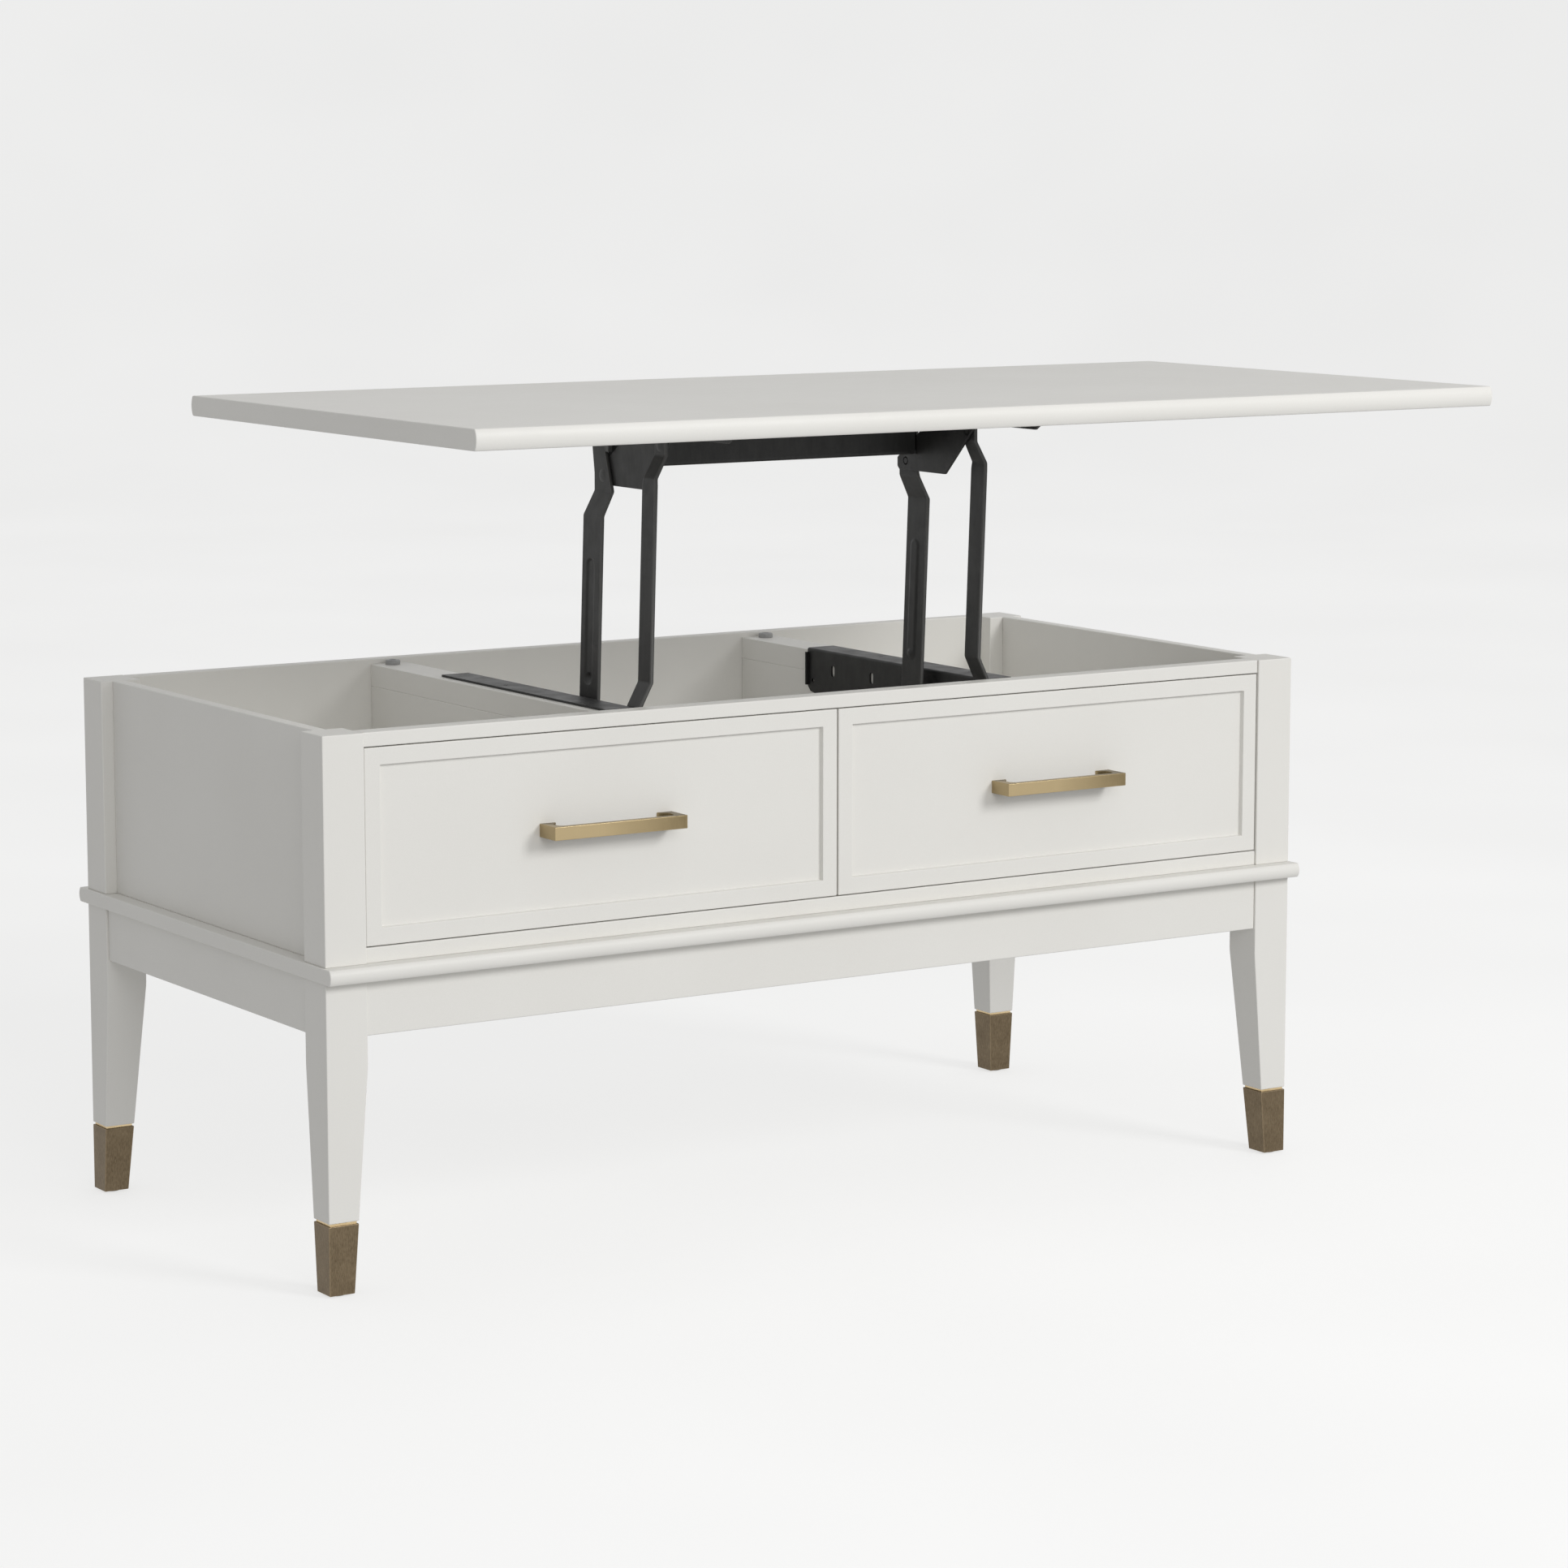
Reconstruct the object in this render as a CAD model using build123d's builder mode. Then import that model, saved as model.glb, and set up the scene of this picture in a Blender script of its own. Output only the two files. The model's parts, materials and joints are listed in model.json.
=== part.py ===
from build123d import *
import math
import os

# Lift top coffee table, millimetres. +Z is up, +X runs along the length, the front faces -Y.
# The table stands open: the top is raised and swung forward on its two lift mechanisms.
# The origin is on the floor, under the centre of the open table's outline.

# ---- driving dimensions ----
frame_length = 1000.0
frame_depth = 465.0
post_size = 38.0
rim_height = 466.2
base_board_bottom = 262.6
base_board_top = 275.7
board_overhang_side = 2.5
board_overhang_front = 14.0
board_nose_rise = 2.6
top_thickness = 17.0
lift_height = 246.0
lift_forward = 252.0
arm_lean = 3.2
closed_gap = 0.4
edge_ease = 0.7
end_ease = 0.5

foot_width = 23.0
glide_height = 1.5
ferrule_top = 60.0
ferrule_gap = 2.2
ferrule_wall = 1.6
tenon_play = 0.1
glide_radius = 8.0
taper_start = 191.0
apron_bottom = 215.6
apron_thickness = 16.0
face_setback = 2.0

side_panel_setback = 11.0
side_panel_thickness = 12.0
back_panel_thickness = 13.0
front_thickness = 18.0
top_rail_height = 12.0
bottom_rail_height = 13.0
front_gap = 1.6
rail_gap = 0.9
front_end_gap = 1.0
recess_border = 14.5
recess_bevel = 0.6
recess_depth = 4.0

divider_inner = 184.0
divider_outer = 220.0
divider_drop = 4.7
divider_cap_height = 20.0
deck_top = 382.0
deck_thickness = 9.0
partition_thickness = 12.0
bin_front_thickness = 12.0
cleat_width = 11.0
cleat_height = 12.0
bumper_radius = 6.8
bumper_setback = 27.2
divider_ease = 0.3

drawer_side_thickness = 10.0
drawer_side_gap = 13.0
drawer_box_height = 70.0
drawer_box_depth = 400.0
drawer_bottom_thickness = 4.0
drawer_bottom_lift = 6.0
box_lift = 3.0
runner_bar_height = 16.0
runner_bar_gap = 2.5
channel_width = 10.0
channel_height = 22.0
channel_wall = 1.9
channel_lip = 2.7

pull_length = 129.0
pull_height = 11.4
pull_projection = 24.0
pull_bar_thickness = 6.0
pull_foot = 15.0
pull_sweep_waist = 8.0
pull_sweep_end = 12.0
pull_sweep_rise = 9.0
pull_screw_radius = 2.0
pull_screw_reach = 10.0
pull_head_radius = 4.0
pull_head_depth = 2.0

sheet = 2.0
arm_thickness = 3.0
arm_middle = 170.0
arm_upper = 159.5
arm_lower = 180.3
bracket_inner = 155.3
bracket_outer = 157.8
pin_radius = 4.0
pin_clearance = 0.05
flush_head_radius = 6.0
flush_head_depth = 1.2
rib_height = 1.2
rib_length = 112.0
rib_width = 14.0
rib_centre_z = 527.5

rail_start = 40.0
rail_end = 330.0
rail_screw_starts = (89.0, 232.0)
rail_oval_starts = (222.0, 287.0)
rail_screw_line = 200.0
flange_outer = 211.0
screw_radius = 2.2
screw_head_radius = 4.2
screw_head_depth = 1.2
bracket_screw_starts = (-52.0, 8.0, 88.0)
bracket_screw_inset = 13.0
stop_block_depth = 4.0
rear_lip = 3.0
lug_width = 10.0
spring_drop = 15.0
spring_radius = 4.4
spring_offset = 5.3
spring_inset = 9.0

# ---- places worked out from the dimensions ----
half = frame_length / 2
front = -(frame_depth - lift_forward) / 2
back = front + frame_depth
open_underside = rim_height + lift_height
post_inner = half - post_size
panel_face = front + face_setback
front_back = panel_face + front_thickness
bin_back = back - face_setback - back_panel_thickness
pull_screw_half = (pull_length - pull_foot) / 2
side_inner = half - side_panel_setback - side_panel_thickness
divider_top = rim_height - divider_drop
lean = math.radians(arm_lean)
arm_length = (lift_height**2 + lift_forward**2) / (
    2 * (lift_height * math.cos(lean) + lift_forward * math.sin(lean))
)

# pivots of the two arms on each side, as (y, z): the rear pair and the front pair
rear_upper = (front + 127.8, 654.1)
rear_lower = (rear_upper[0] + arm_length * math.sin(lean), rear_upper[1] - arm_length * math.cos(lean))
pair_offset = (-95.5, 32.0)
front_upper = (rear_upper[0] + pair_offset[0], rear_upper[1] + pair_offset[1])
front_lower = (rear_lower[0] + pair_offset[0], rear_lower[1] + pair_offset[1])
fold_angle = 90 + arm_lean + math.degrees(
    math.asin((lift_height - closed_gap) / arm_length - math.cos(lean))
)

os.makedirs("parts", exist_ok=True)
sides = {"left": -1, "right": 1}


def save(part, name):
    """Label a finished piece and write it to its own file."""
    part.label = name
    export_step(part, f"parts/{name}.step")


def board(x, y, z, ease=edge_ease):
    """A straight board between three pairs of limits, its edges eased by a small chamfer."""
    with BuildPart() as piece:
        with BuildSketch(Plane.XY.offset(z[0])):
            with Locations(((x[0] + x[1]) / 2, (y[0] + y[1]) / 2)):
                Rectangle(x[1] - x[0], y[1] - y[0])
        extrude(amount=z[1] - z[0])
        if ease:
            chamfer(piece.edges(), length=ease)
    return piece.part


def mirrored(side, low, high):
    """Limits in X of a layer that lies between two distances from the middle, on one side."""
    if side > 0:
        return (low, high)
    return (-high, -low)


def side_plane(side, low, high):
    """The plane, facing +X, that a layer on one side is extruded from."""
    return Plane.YZ.offset(mirrored(side, low, high)[0])


# ---- boards with a rounded front and back nose ----
def nosed_board(low, high, y_shift):
    """A slab whose front and back edges are gentle convex arcs, carried along the length."""
    y_front = front - board_overhang_front + y_shift
    y_back = back + board_overhang_front + y_shift
    middle = (low + high) / 2
    flat_front = y_front + board_nose_rise
    flat_back = y_back - board_nose_rise
    length = frame_length + 2 * board_overhang_side
    with BuildPart() as slab:
        with BuildSketch(Plane.YZ.offset(-length / 2)):
            with BuildLine():
                Line((flat_front, low), (flat_back, low))
                ThreePointArc((flat_back, low), (y_back, middle), (flat_back, high))
                Line((flat_back, high), (flat_front, high))
                ThreePointArc((flat_front, high), (y_front, middle), (flat_front, low))
            make_face()
        extrude(amount=length)
        chamfer(slab.edges().filter_by(Axis.X), length=edge_ease)
        chamfer(slab.faces().filter_by(Axis.X).edges(), length=end_ease)
    return slab.part


save(nosed_board(base_board_bottom, base_board_top, 0.0), "base_board")
save(nosed_board(open_underside, open_underside + top_thickness, -lift_forward), "tabletop")


# ---- legs, ferrules and feet ----
tenon_inset = ferrule_wall + 0.9


def leg_width(z):
    """Width of the square leg at a height: full above the taper, narrowing evenly below it."""
    if z >= taper_start:
        return post_size
    return foot_width + (post_size - foot_width) * z / taper_start


def corner_square(x_side, y_side, width, inset=0.0):
    """A square with its outer corner on the table's outer corner, drawn on the current plane."""
    x_corner = x_side * (half - inset)
    y_corner = (front + inset) if y_side < 0 else (back - inset)
    size = width - 2 * inset
    with Locations((x_corner - x_side * size / 2, y_corner - y_side * size / 2)):
        Rectangle(size, size)


corners = {
    "front_left": (-1, -1),
    "front_right": (1, -1),
    "rear_left": (-1, 1),
    "rear_right": (1, 1),
}

for place, (x_side, y_side) in corners.items():
    leg_bottom = ferrule_top + ferrule_gap
    with BuildPart() as leg:
        for section_z in (leg_bottom, taper_start):
            with BuildSketch(Plane.XY.offset(section_z)) as section:
                corner_square(x_side, y_side, leg_width(section_z))
                chamfer(section.vertices(), length=edge_ease)
        loft()
        with BuildSketch(Plane.XY.offset(taper_start)) as section:
            corner_square(x_side, y_side, post_size)
            chamfer(section.vertices(), length=edge_ease)
        extrude(amount=base_board_bottom - taper_start)
        with BuildSketch(Plane.XY.offset(glide_height + ferrule_wall)):
            corner_square(x_side, y_side, leg_width(glide_height), tenon_inset + tenon_play)
        extrude(amount=leg_bottom - glide_height - ferrule_wall)
    save(leg.part, f"leg_{place}")

    with BuildPart() as post:
        with BuildSketch(Plane.XY.offset(base_board_top)):
            corner_square(x_side, y_side, post_size)
        extrude(amount=rim_height - base_board_top)
        chamfer(post.edges().filter_by(Axis.Z), length=edge_ease)
        chamfer(post.faces().sort_by(Axis.Z)[-1].edges(), length=edge_ease)
    save(post.part, f"post_{place}")

with BuildPart() as ferrules:
    for x_side, y_side in corners.values():
        with BuildSketch(Plane.XY.offset(glide_height)):
            corner_square(x_side, y_side, leg_width(glide_height))
        with BuildSketch(Plane.XY.offset(ferrule_top)):
            corner_square(x_side, y_side, leg_width(ferrule_top))
        loft()
        with BuildSketch(Plane.XY.offset(glide_height + ferrule_wall)):
            corner_square(x_side, y_side, leg_width(glide_height), tenon_inset)
        extrude(amount=ferrule_top, mode=Mode.SUBTRACT)
save(ferrules.part, "leg_ferrules")

with BuildPart() as glides:
    for x_side, y_side in corners.values():
        with BuildSketch():
            y_corner = front if y_side < 0 else back
            with Locations((x_side * (half - foot_width / 2), y_corner - y_side * foot_width / 2)):
                Circle(glide_radius)
        extrude(amount=glide_height)
save(glides.part, "foot_glides")

# ---- aprons under the base board ----
apron_span = (-post_inner, post_inner)
apron_heights = (apron_bottom, base_board_bottom)
apron_depths = (front + post_size, back - post_size)
front_apron_y = (panel_face, panel_face + apron_thickness)
rear_apron_y = (back - face_setback - apron_thickness, back - face_setback)
save(board(apron_span, front_apron_y, apron_heights), "apron_front")
save(board(apron_span, rear_apron_y, apron_heights), "apron_rear")
for name, side in sides.items():
    apron_x = mirrored(side, half - face_setback - apron_thickness, half - face_setback)
    save(board(apron_x, apron_depths, apron_heights), f"apron_{name}")
    panel_x = mirrored(side, side_inner, half - side_panel_setback)
    save(board(panel_x, apron_depths, (base_board_top, rim_height)), f"side_panel_{name}")

# ---- cabinet ----
save(board(apron_span, (bin_back, back - face_setback), (base_board_top, rim_height)), "back_panel")
save(board(apron_span, (panel_face, front_back), (rim_height - top_rail_height, rim_height)), "top_rail")
bottom_rail_top = base_board_top + bottom_rail_height
save(board(apron_span, (panel_face, front_back), (base_board_top, bottom_rail_top)), "bottom_rail")

deck_bottom = deck_top - deck_thickness
deck_front = front_back + bin_front_thickness
with BuildPart() as deck:
    with BuildSketch(Plane.XY.offset(deck_bottom)):
        with Locations((0, (deck_front + bin_back) / 2)):
            Rectangle(2 * post_inner, bin_back - deck_front)
        with Locations((0, (front + back) / 2)):
            Rectangle(2 * side_inner, frame_depth - 2 * post_size)
    extrude(amount=deck_thickness)
save(deck.part, "storage_deck")

bin_front_heights = (deck_bottom, rim_height - top_rail_height)
save(board(apron_span, (front_back, deck_front), bin_front_heights, 0.0), "bin_front_panel")

with BuildPart() as cleats:
    for side in sides.values():
        cleat_centre = side * (side_inner - cleat_width / 2)
        with BuildSketch(Plane.XY.offset(deck_bottom - cleat_height)):
            with Locations((cleat_centre, (front + back) / 2)):
                Rectangle(cleat_width, frame_depth - 2 * post_size)
        extrude(amount=cleat_height)
save(cleats.part, "deck_cleats")

partition_x = (-partition_thickness / 2, partition_thickness / 2)
partition_y = (front_back + 2.0, bin_back)
save(board(partition_x, partition_y, (base_board_top, deck_bottom), 0.0), "drawer_partition")

cap_bottom = divider_top - divider_cap_height
for name, side in sides.items():
    divider_x = mirrored(side, divider_inner, divider_outer)
    save(board(divider_x, (deck_front, bin_back), (deck_top, cap_bottom), divider_ease), f"divider_{name}")

with BuildPart() as caps:
    for side in sides.values():
        divider_x = mirrored(side, divider_inner, divider_outer)
        with BuildSketch(Plane.XY.offset(cap_bottom)):
            with Locations(((divider_x[0] + divider_x[1]) / 2, (deck_front + bin_back) / 2)):
                Rectangle(divider_outer - divider_inner, bin_back - deck_front)
        extrude(amount=divider_cap_height)
    chamfer(caps.edges().filter_by(Axis.Y), length=divider_ease)
save(caps.part, "divider_caps")

with BuildPart() as bumpers:
    for side in sides.values():
        bumper_place = (side * ((divider_inner + divider_outer) / 2 + 1.5), back - bumper_setback)
        with BuildSketch(Plane.XY.offset(divider_top)):
            with Locations(bumper_place):
                Circle(bumper_radius)
        extrude(amount=divider_drop - 0.2)
    fillet(bumpers.faces().group_by(Axis.Z)[-1].edges(), radius=1.2)
save(bumpers.part, "lid_bumpers")

# ---- drawers ----
drawer_bottom_edge = bottom_rail_top + rail_gap
drawer_top_edge = rim_height - top_rail_height - rail_gap
front_heights = (drawer_bottom_edge, drawer_top_edge)
pull_centre_z = (drawer_bottom_edge + drawer_top_edge) / 2
box_bottom = drawer_bottom_edge + box_lift
box_heights = (box_bottom, box_bottom + drawer_box_height)
box_back = front_back + drawer_box_depth
runner_centre = box_bottom + drawer_box_height / 2
opening_inner = partition_thickness / 2


def front_panel(side):
    """A drawer front: a slab with a shallow centre recess that has bevelled walls."""
    x = mirrored(side, front_gap / 2, post_inner - front_end_gap)
    centre = ((x[0] + x[1]) / 2, (front_heights[0] + front_heights[1]) / 2)
    width = x[1] - x[0] - 2 * recess_border
    height = front_heights[1] - front_heights[0] - 2 * recess_border
    facing = Plane(origin=(centre[0], panel_face, centre[1]), x_dir=(1, 0, 0), z_dir=(0, -1, 0))
    with BuildPart() as piece:
        with BuildSketch(facing):
            Rectangle(x[1] - x[0], front_heights[1] - front_heights[0])
        extrude(amount=-front_thickness)
        chamfer(piece.edges(), length=edge_ease)
        with BuildSketch(facing):
            Rectangle(width, height)
        with BuildSketch(facing.offset(-recess_depth)):
            Rectangle(width - 2 * recess_bevel, height - 2 * recess_bevel)
        loft(mode=Mode.SUBTRACT)
        with Locations(facing.offset(-recess_depth)):
            with Locations((-pull_screw_half, 0), (pull_screw_half, 0)):
                Hole(pull_screw_radius + pin_clearance)
        with BuildSketch(facing.offset(-front_thickness)):
            with Locations((-pull_screw_half, 0), (pull_screw_half, 0)):
                Circle(pull_head_radius + pin_clearance)
        extrude(amount=pull_head_depth + 0.2, mode=Mode.SUBTRACT)
    return piece.part


def pull_screw_places(side):
    """The two places, as (x, z), where a drawer's pull is screwed on."""
    centre = side * (post_inner - front_end_gap + front_gap / 2) / 2
    return [(centre + reach, pull_centre_z) for reach in (-pull_screw_half, pull_screw_half)]


def pull(side):
    """A bar pull: a flat bar whose two legs widen inwards in a round sweep to each foot."""
    x_centre = side * (post_inner - front_end_gap + front_gap / 2) / 2
    back_y = panel_face + recess_depth
    front_y = panel_face - pull_projection + face_setback
    inner_y = front_y + pull_bar_thickness
    outer = pull_length / 2
    waist = outer - pull_sweep_waist
    sweep_end = outer - pull_sweep_end
    foot = outer - pull_foot
    with BuildPart() as piece:
        with BuildSketch(Plane.XY.offset(pull_centre_z - pull_height / 2)):
            with BuildLine():
                Polyline((x_centre - foot, back_y), (x_centre - outer, back_y), (x_centre - outer, front_y))
                Line((x_centre - outer, front_y), (x_centre + outer, front_y))
                Polyline((x_centre + outer, front_y), (x_centre + outer, back_y), (x_centre + foot, back_y))
                Spline(
                    (x_centre + foot, back_y),
                    (x_centre + waist, back_y - pull_sweep_rise),
                    (x_centre + sweep_end, inner_y),
                    tangents=((0.0, -1.0), (-1.0, 0.0)),
                )
                Line((x_centre + sweep_end, inner_y), (x_centre - sweep_end, inner_y))
                Spline(
                    (x_centre - sweep_end, inner_y),
                    (x_centre - waist, back_y - pull_sweep_rise),
                    (x_centre - foot, back_y),
                    tangents=((-1.0, 0.0), (0.0, 1.0)),
                )
            make_face()
        extrude(amount=pull_height)
        chamfer(piece.faces().sort_by(Axis.Y)[0].edges(), length=end_ease)
        with BuildSketch(Plane.XZ.offset(-back_y)):
            with Locations(pull_screw_places(side)):
                Circle(pull_screw_radius + pin_clearance)
        extrude(amount=pull_screw_reach + 2.0, mode=Mode.SUBTRACT)
    return piece.part


for name, side in sides.items():
    save(front_panel(side), f"drawer_front_{name}")
    save(pull(side), f"drawer_pull_{name}")
    box_x = mirrored(side, opening_inner + drawer_side_gap, post_inner - drawer_side_gap)
    inner_x = (box_x[0] + drawer_side_thickness, box_x[1] - drawer_side_thickness)

    with BuildPart() as screws:
        with BuildSketch(Plane.XZ.offset(-front_back)):
            with Locations(pull_screw_places(side)):
                Circle(pull_screw_radius)
        extrude(amount=front_thickness - recess_depth + pull_screw_reach)
        with BuildSketch(Plane.XZ.offset(-front_back)):
            with Locations(pull_screw_places(side)):
                Circle(pull_head_radius)
        extrude(amount=pull_head_depth)
    save(screws.part, f"pull_screws_{name}")

    with BuildPart() as walls:
        for wall_x in ((box_x[0], inner_x[0]), (inner_x[1], box_x[1])):
            with BuildSketch(Plane.XY.offset(box_heights[0])):
                with Locations(((wall_x[0] + wall_x[1]) / 2, (front_back + box_back) / 2)):
                    Rectangle(drawer_side_thickness, box_back - front_back)
            extrude(amount=drawer_box_height)
    save(walls.part, f"drawer_sides_{name}")
    back_y = (box_back - drawer_side_thickness, box_back)
    save(board(inner_x, back_y, box_heights, 0.0), f"drawer_back_{name}")
    floor_low = box_bottom + drawer_bottom_lift
    floor_z = (floor_low, floor_low + drawer_bottom_thickness)
    save(board(inner_x, (front_back, back_y[0]), floor_z, 0.0), f"drawer_bottom_{name}")

    with BuildPart() as slides:
        bar_width = drawer_side_gap - runner_bar_gap
        for bar_centre in (box_x[0] - bar_width / 2, box_x[1] + bar_width / 2):
            with BuildSketch(Plane.XY.offset(runner_centre - runner_bar_height / 2)):
                with Locations((bar_centre, (front_back + box_back) / 2 + 1.0)):
                    Rectangle(bar_width, drawer_box_depth - 10.0)
            extrude(amount=runner_bar_height)
    save(slides.part, f"drawer_runners_{name}")

with BuildPart() as channels:
    for side in sides.values():
        for wall, inward in ((opening_inner, 1), (post_inner, -1)):
            channel_centre = side * (wall + inward * channel_width / 2)
            slot_centre = channel_centre + side * inward * channel_wall / 2
            with BuildSketch(Plane.XZ.offset(-(front_back + 6.0))):
                with Locations((channel_centre, runner_centre)):
                    Rectangle(channel_width, channel_height)
                with Locations((slot_centre, runner_centre)):
                    slot_height = channel_height - 2 * channel_lip
                    Rectangle(channel_width - channel_wall, slot_height, mode=Mode.SUBTRACT)
            extrude(amount=-(drawer_box_depth + 12.0))
save(channels.part, "cabinet_runners")


# ---- lift mechanism ----
def bent_bar(side, outline_edges, bends, thickness=arm_thickness):
    """A flat bar with joggles: its side view is the outline, its edge view steps through the bends.

    bends lists (distance from the middle, height) from the bottom to the top.
    """
    half_thickness = thickness / 2
    outer_line = [(side * (x + half_thickness), z) for x, z in bends]
    inner_line = [(side * (x - half_thickness), z) for x, z in bends]
    with BuildPart() as piece:
        with BuildSketch(Plane.XZ.offset(-back)):
            with BuildLine():
                Polyline(*outer_line, *reversed(inner_line), close=True)
            make_face()
        extrude(amount=2 * frame_depth)
        with BuildSketch(Plane.YZ.offset(-half)):
            with BuildLine():
                Polyline(*outline_edges, close=True)
            make_face()
        extrude(amount=frame_length, mode=Mode.INTERSECT)
    return piece.part


def pin_hole(side, low, high, place, radius):
    """Cut a round hole through a layer of the current part."""
    with BuildSketch(side_plane(side, low, high)) as hole:
        with Locations(place):
            Circle(radius)
    extrude(hole.sketch, amount=high - low, mode=Mode.SUBTRACT)


def pin_layer(side, low, high, place, radius):
    """Add a round disc or shank between two distances from the middle."""
    with BuildSketch(side_plane(side, low, high)) as disc:
        with Locations(place):
            Circle(radius)
    extrude(disc.sketch, amount=high - low)


upper_faces = (arm_upper - arm_thickness / 2, arm_upper + arm_thickness / 2)
middle_faces = (arm_middle - arm_thickness / 2, arm_middle + arm_thickness / 2)
lower_faces = (arm_lower - arm_thickness / 2, arm_lower + arm_thickness / 2)

# the front edge of the rear arm's tail, forward of and above its upper pivot: its head and its foot
tail_head = (3.6, 24.5)
tail_foot = (15.2, -13.5)


def rear_arm(side):
    """The wide rear arm: a leaning bar with a long pressed rib and a tail above its upper pivot."""
    tilt = math.tan(lean)
    y_low, z_low = rear_lower
    y_high, z_high = rear_upper
    outline = [
        (y_low - 17.0, z_low - 12.0),
        (y_low - 10.0, z_low - 23.0),
        (y_low + 8.0, z_low - 23.0),
        (y_low + 14.0, z_low - 12.0),
        (y_high + 15.3, z_high - 34.1),
        (y_high + 13.9, z_high - 13.5),
        (y_high + 13.9, z_high + 2.0),
        (y_high + 17.2, z_high + 24.5),
        (y_high + 14.0, z_high + 28.0),
        (y_high - 0.5, z_high + 28.0),
        (y_high - tail_head[0], z_high + tail_head[1]),
        (y_high - tail_foot[0], z_high + tail_foot[1]),
        (y_high - 15.8, z_high - 34.1),
    ]
    bends = [
        (arm_middle, z_low - 40.0),
        (arm_middle, z_high - 34.1),
        (arm_upper, z_high - 13.5),
        (arm_upper, z_high + 60.0),
    ]
    rib_y = y_high + (z_high - rib_centre_z) * tilt - 0.6
    along_arm = (0, -math.sin(lean), math.cos(lean))
    rib_planes = [
        Plane(origin=(side * x, rib_y, rib_centre_z), x_dir=along_arm, z_dir=(-side, 0, 0))
        for x in middle_faces
    ]
    with BuildPart() as piece:
        add(bent_bar(side, outline, bends))
        foot_edges = piece.edges().filter_by(Axis.X).group_by(Axis.Z)[0]
        fillet(foot_edges, radius=6.0)
        with BuildSketch(rib_planes[0]):
            SlotOverall(rib_length, rib_width)
        extrude(amount=rib_height)
        with BuildSketch(rib_planes[1]):
            SlotOverall(rib_length - 2 * rib_height, rib_width - 2 * rib_height)
        extrude(amount=rib_height, mode=Mode.SUBTRACT)
        pin_hole(side, *middle_faces, rear_lower, pin_radius + pin_clearance)
        pin_hole(side, *middle_faces, (y_low, z_low - spring_drop), 2.2)
        pin_hole(side, *upper_faces, rear_upper, pin_radius + pin_clearance)
        head_layer = (upper_faces[1] - flush_head_depth - pin_clearance, upper_faces[1])
        pin_hole(side, *head_layer, rear_upper, flush_head_radius + pin_clearance)
    return piece.part


def front_arm(side):
    """The narrow front arm, joggled outwards at its foot and inwards at its head."""
    y_low, z_low = front_lower
    y_high, z_high = front_upper
    outline = [
        (y_low - 11.5, z_low - 4.0),
        (y_low - 5.0, z_low - 10.5),
        (y_low + 3.0, z_low - 10.5),
        (y_low + 8.5, z_low - 4.0),
        (y_low + 8.2, z_low + 14.0),
        (y_high + 11.8, z_high - 34.0),
        (y_high + 10.4, z_high - 28.0),
        (y_high + 8.6, z_high - 8.0),
        (y_high + 8.2, z_high + 4.0),
        (y_high + 4.0, z_high + 9.0),
        (y_high - 4.0, z_high + 9.0),
        (y_high - 8.6, z_high + 4.0),
        (y_high - 8.8, z_high - 8.0),
        (y_high - 9.4, z_high - 34.0),
        (y_low - 13.2, z_low + 18.0),
    ]
    bends = [
        (arm_lower, z_low - 30.0),
        (arm_lower, z_low + 16.0),
        (arm_middle, z_low + 36.0),
        (arm_middle, z_high - 28.0),
        (arm_upper, z_high - 9.0),
        (arm_upper, z_high + 60.0),
    ]
    with BuildPart() as piece:
        add(bent_bar(side, outline, bends))
        pin_hole(side, *lower_faces, front_lower, pin_radius + pin_clearance)
        pin_hole(side, *upper_faces, front_upper, pin_radius + pin_clearance)
        head_layer = (upper_faces[1] - flush_head_depth - pin_clearance, upper_faces[1])
        pin_hole(side, *head_layer, front_upper, flush_head_radius + pin_clearance)
    return piece.part


rail_front = front + rail_start
rail_rear = front + rail_end
rail_top = divider_top + sheet
web_inner = divider_inner - sheet
rail_screws = [front + start for start in rail_screw_starts]
bracket_screws = [front + start for start in bracket_screw_starts]
spring_eye = (rear_lower[0], rear_lower[1] - spring_drop)
spring_hook = (rail_rear - 33.0, rail_top - 52.0)


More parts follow.
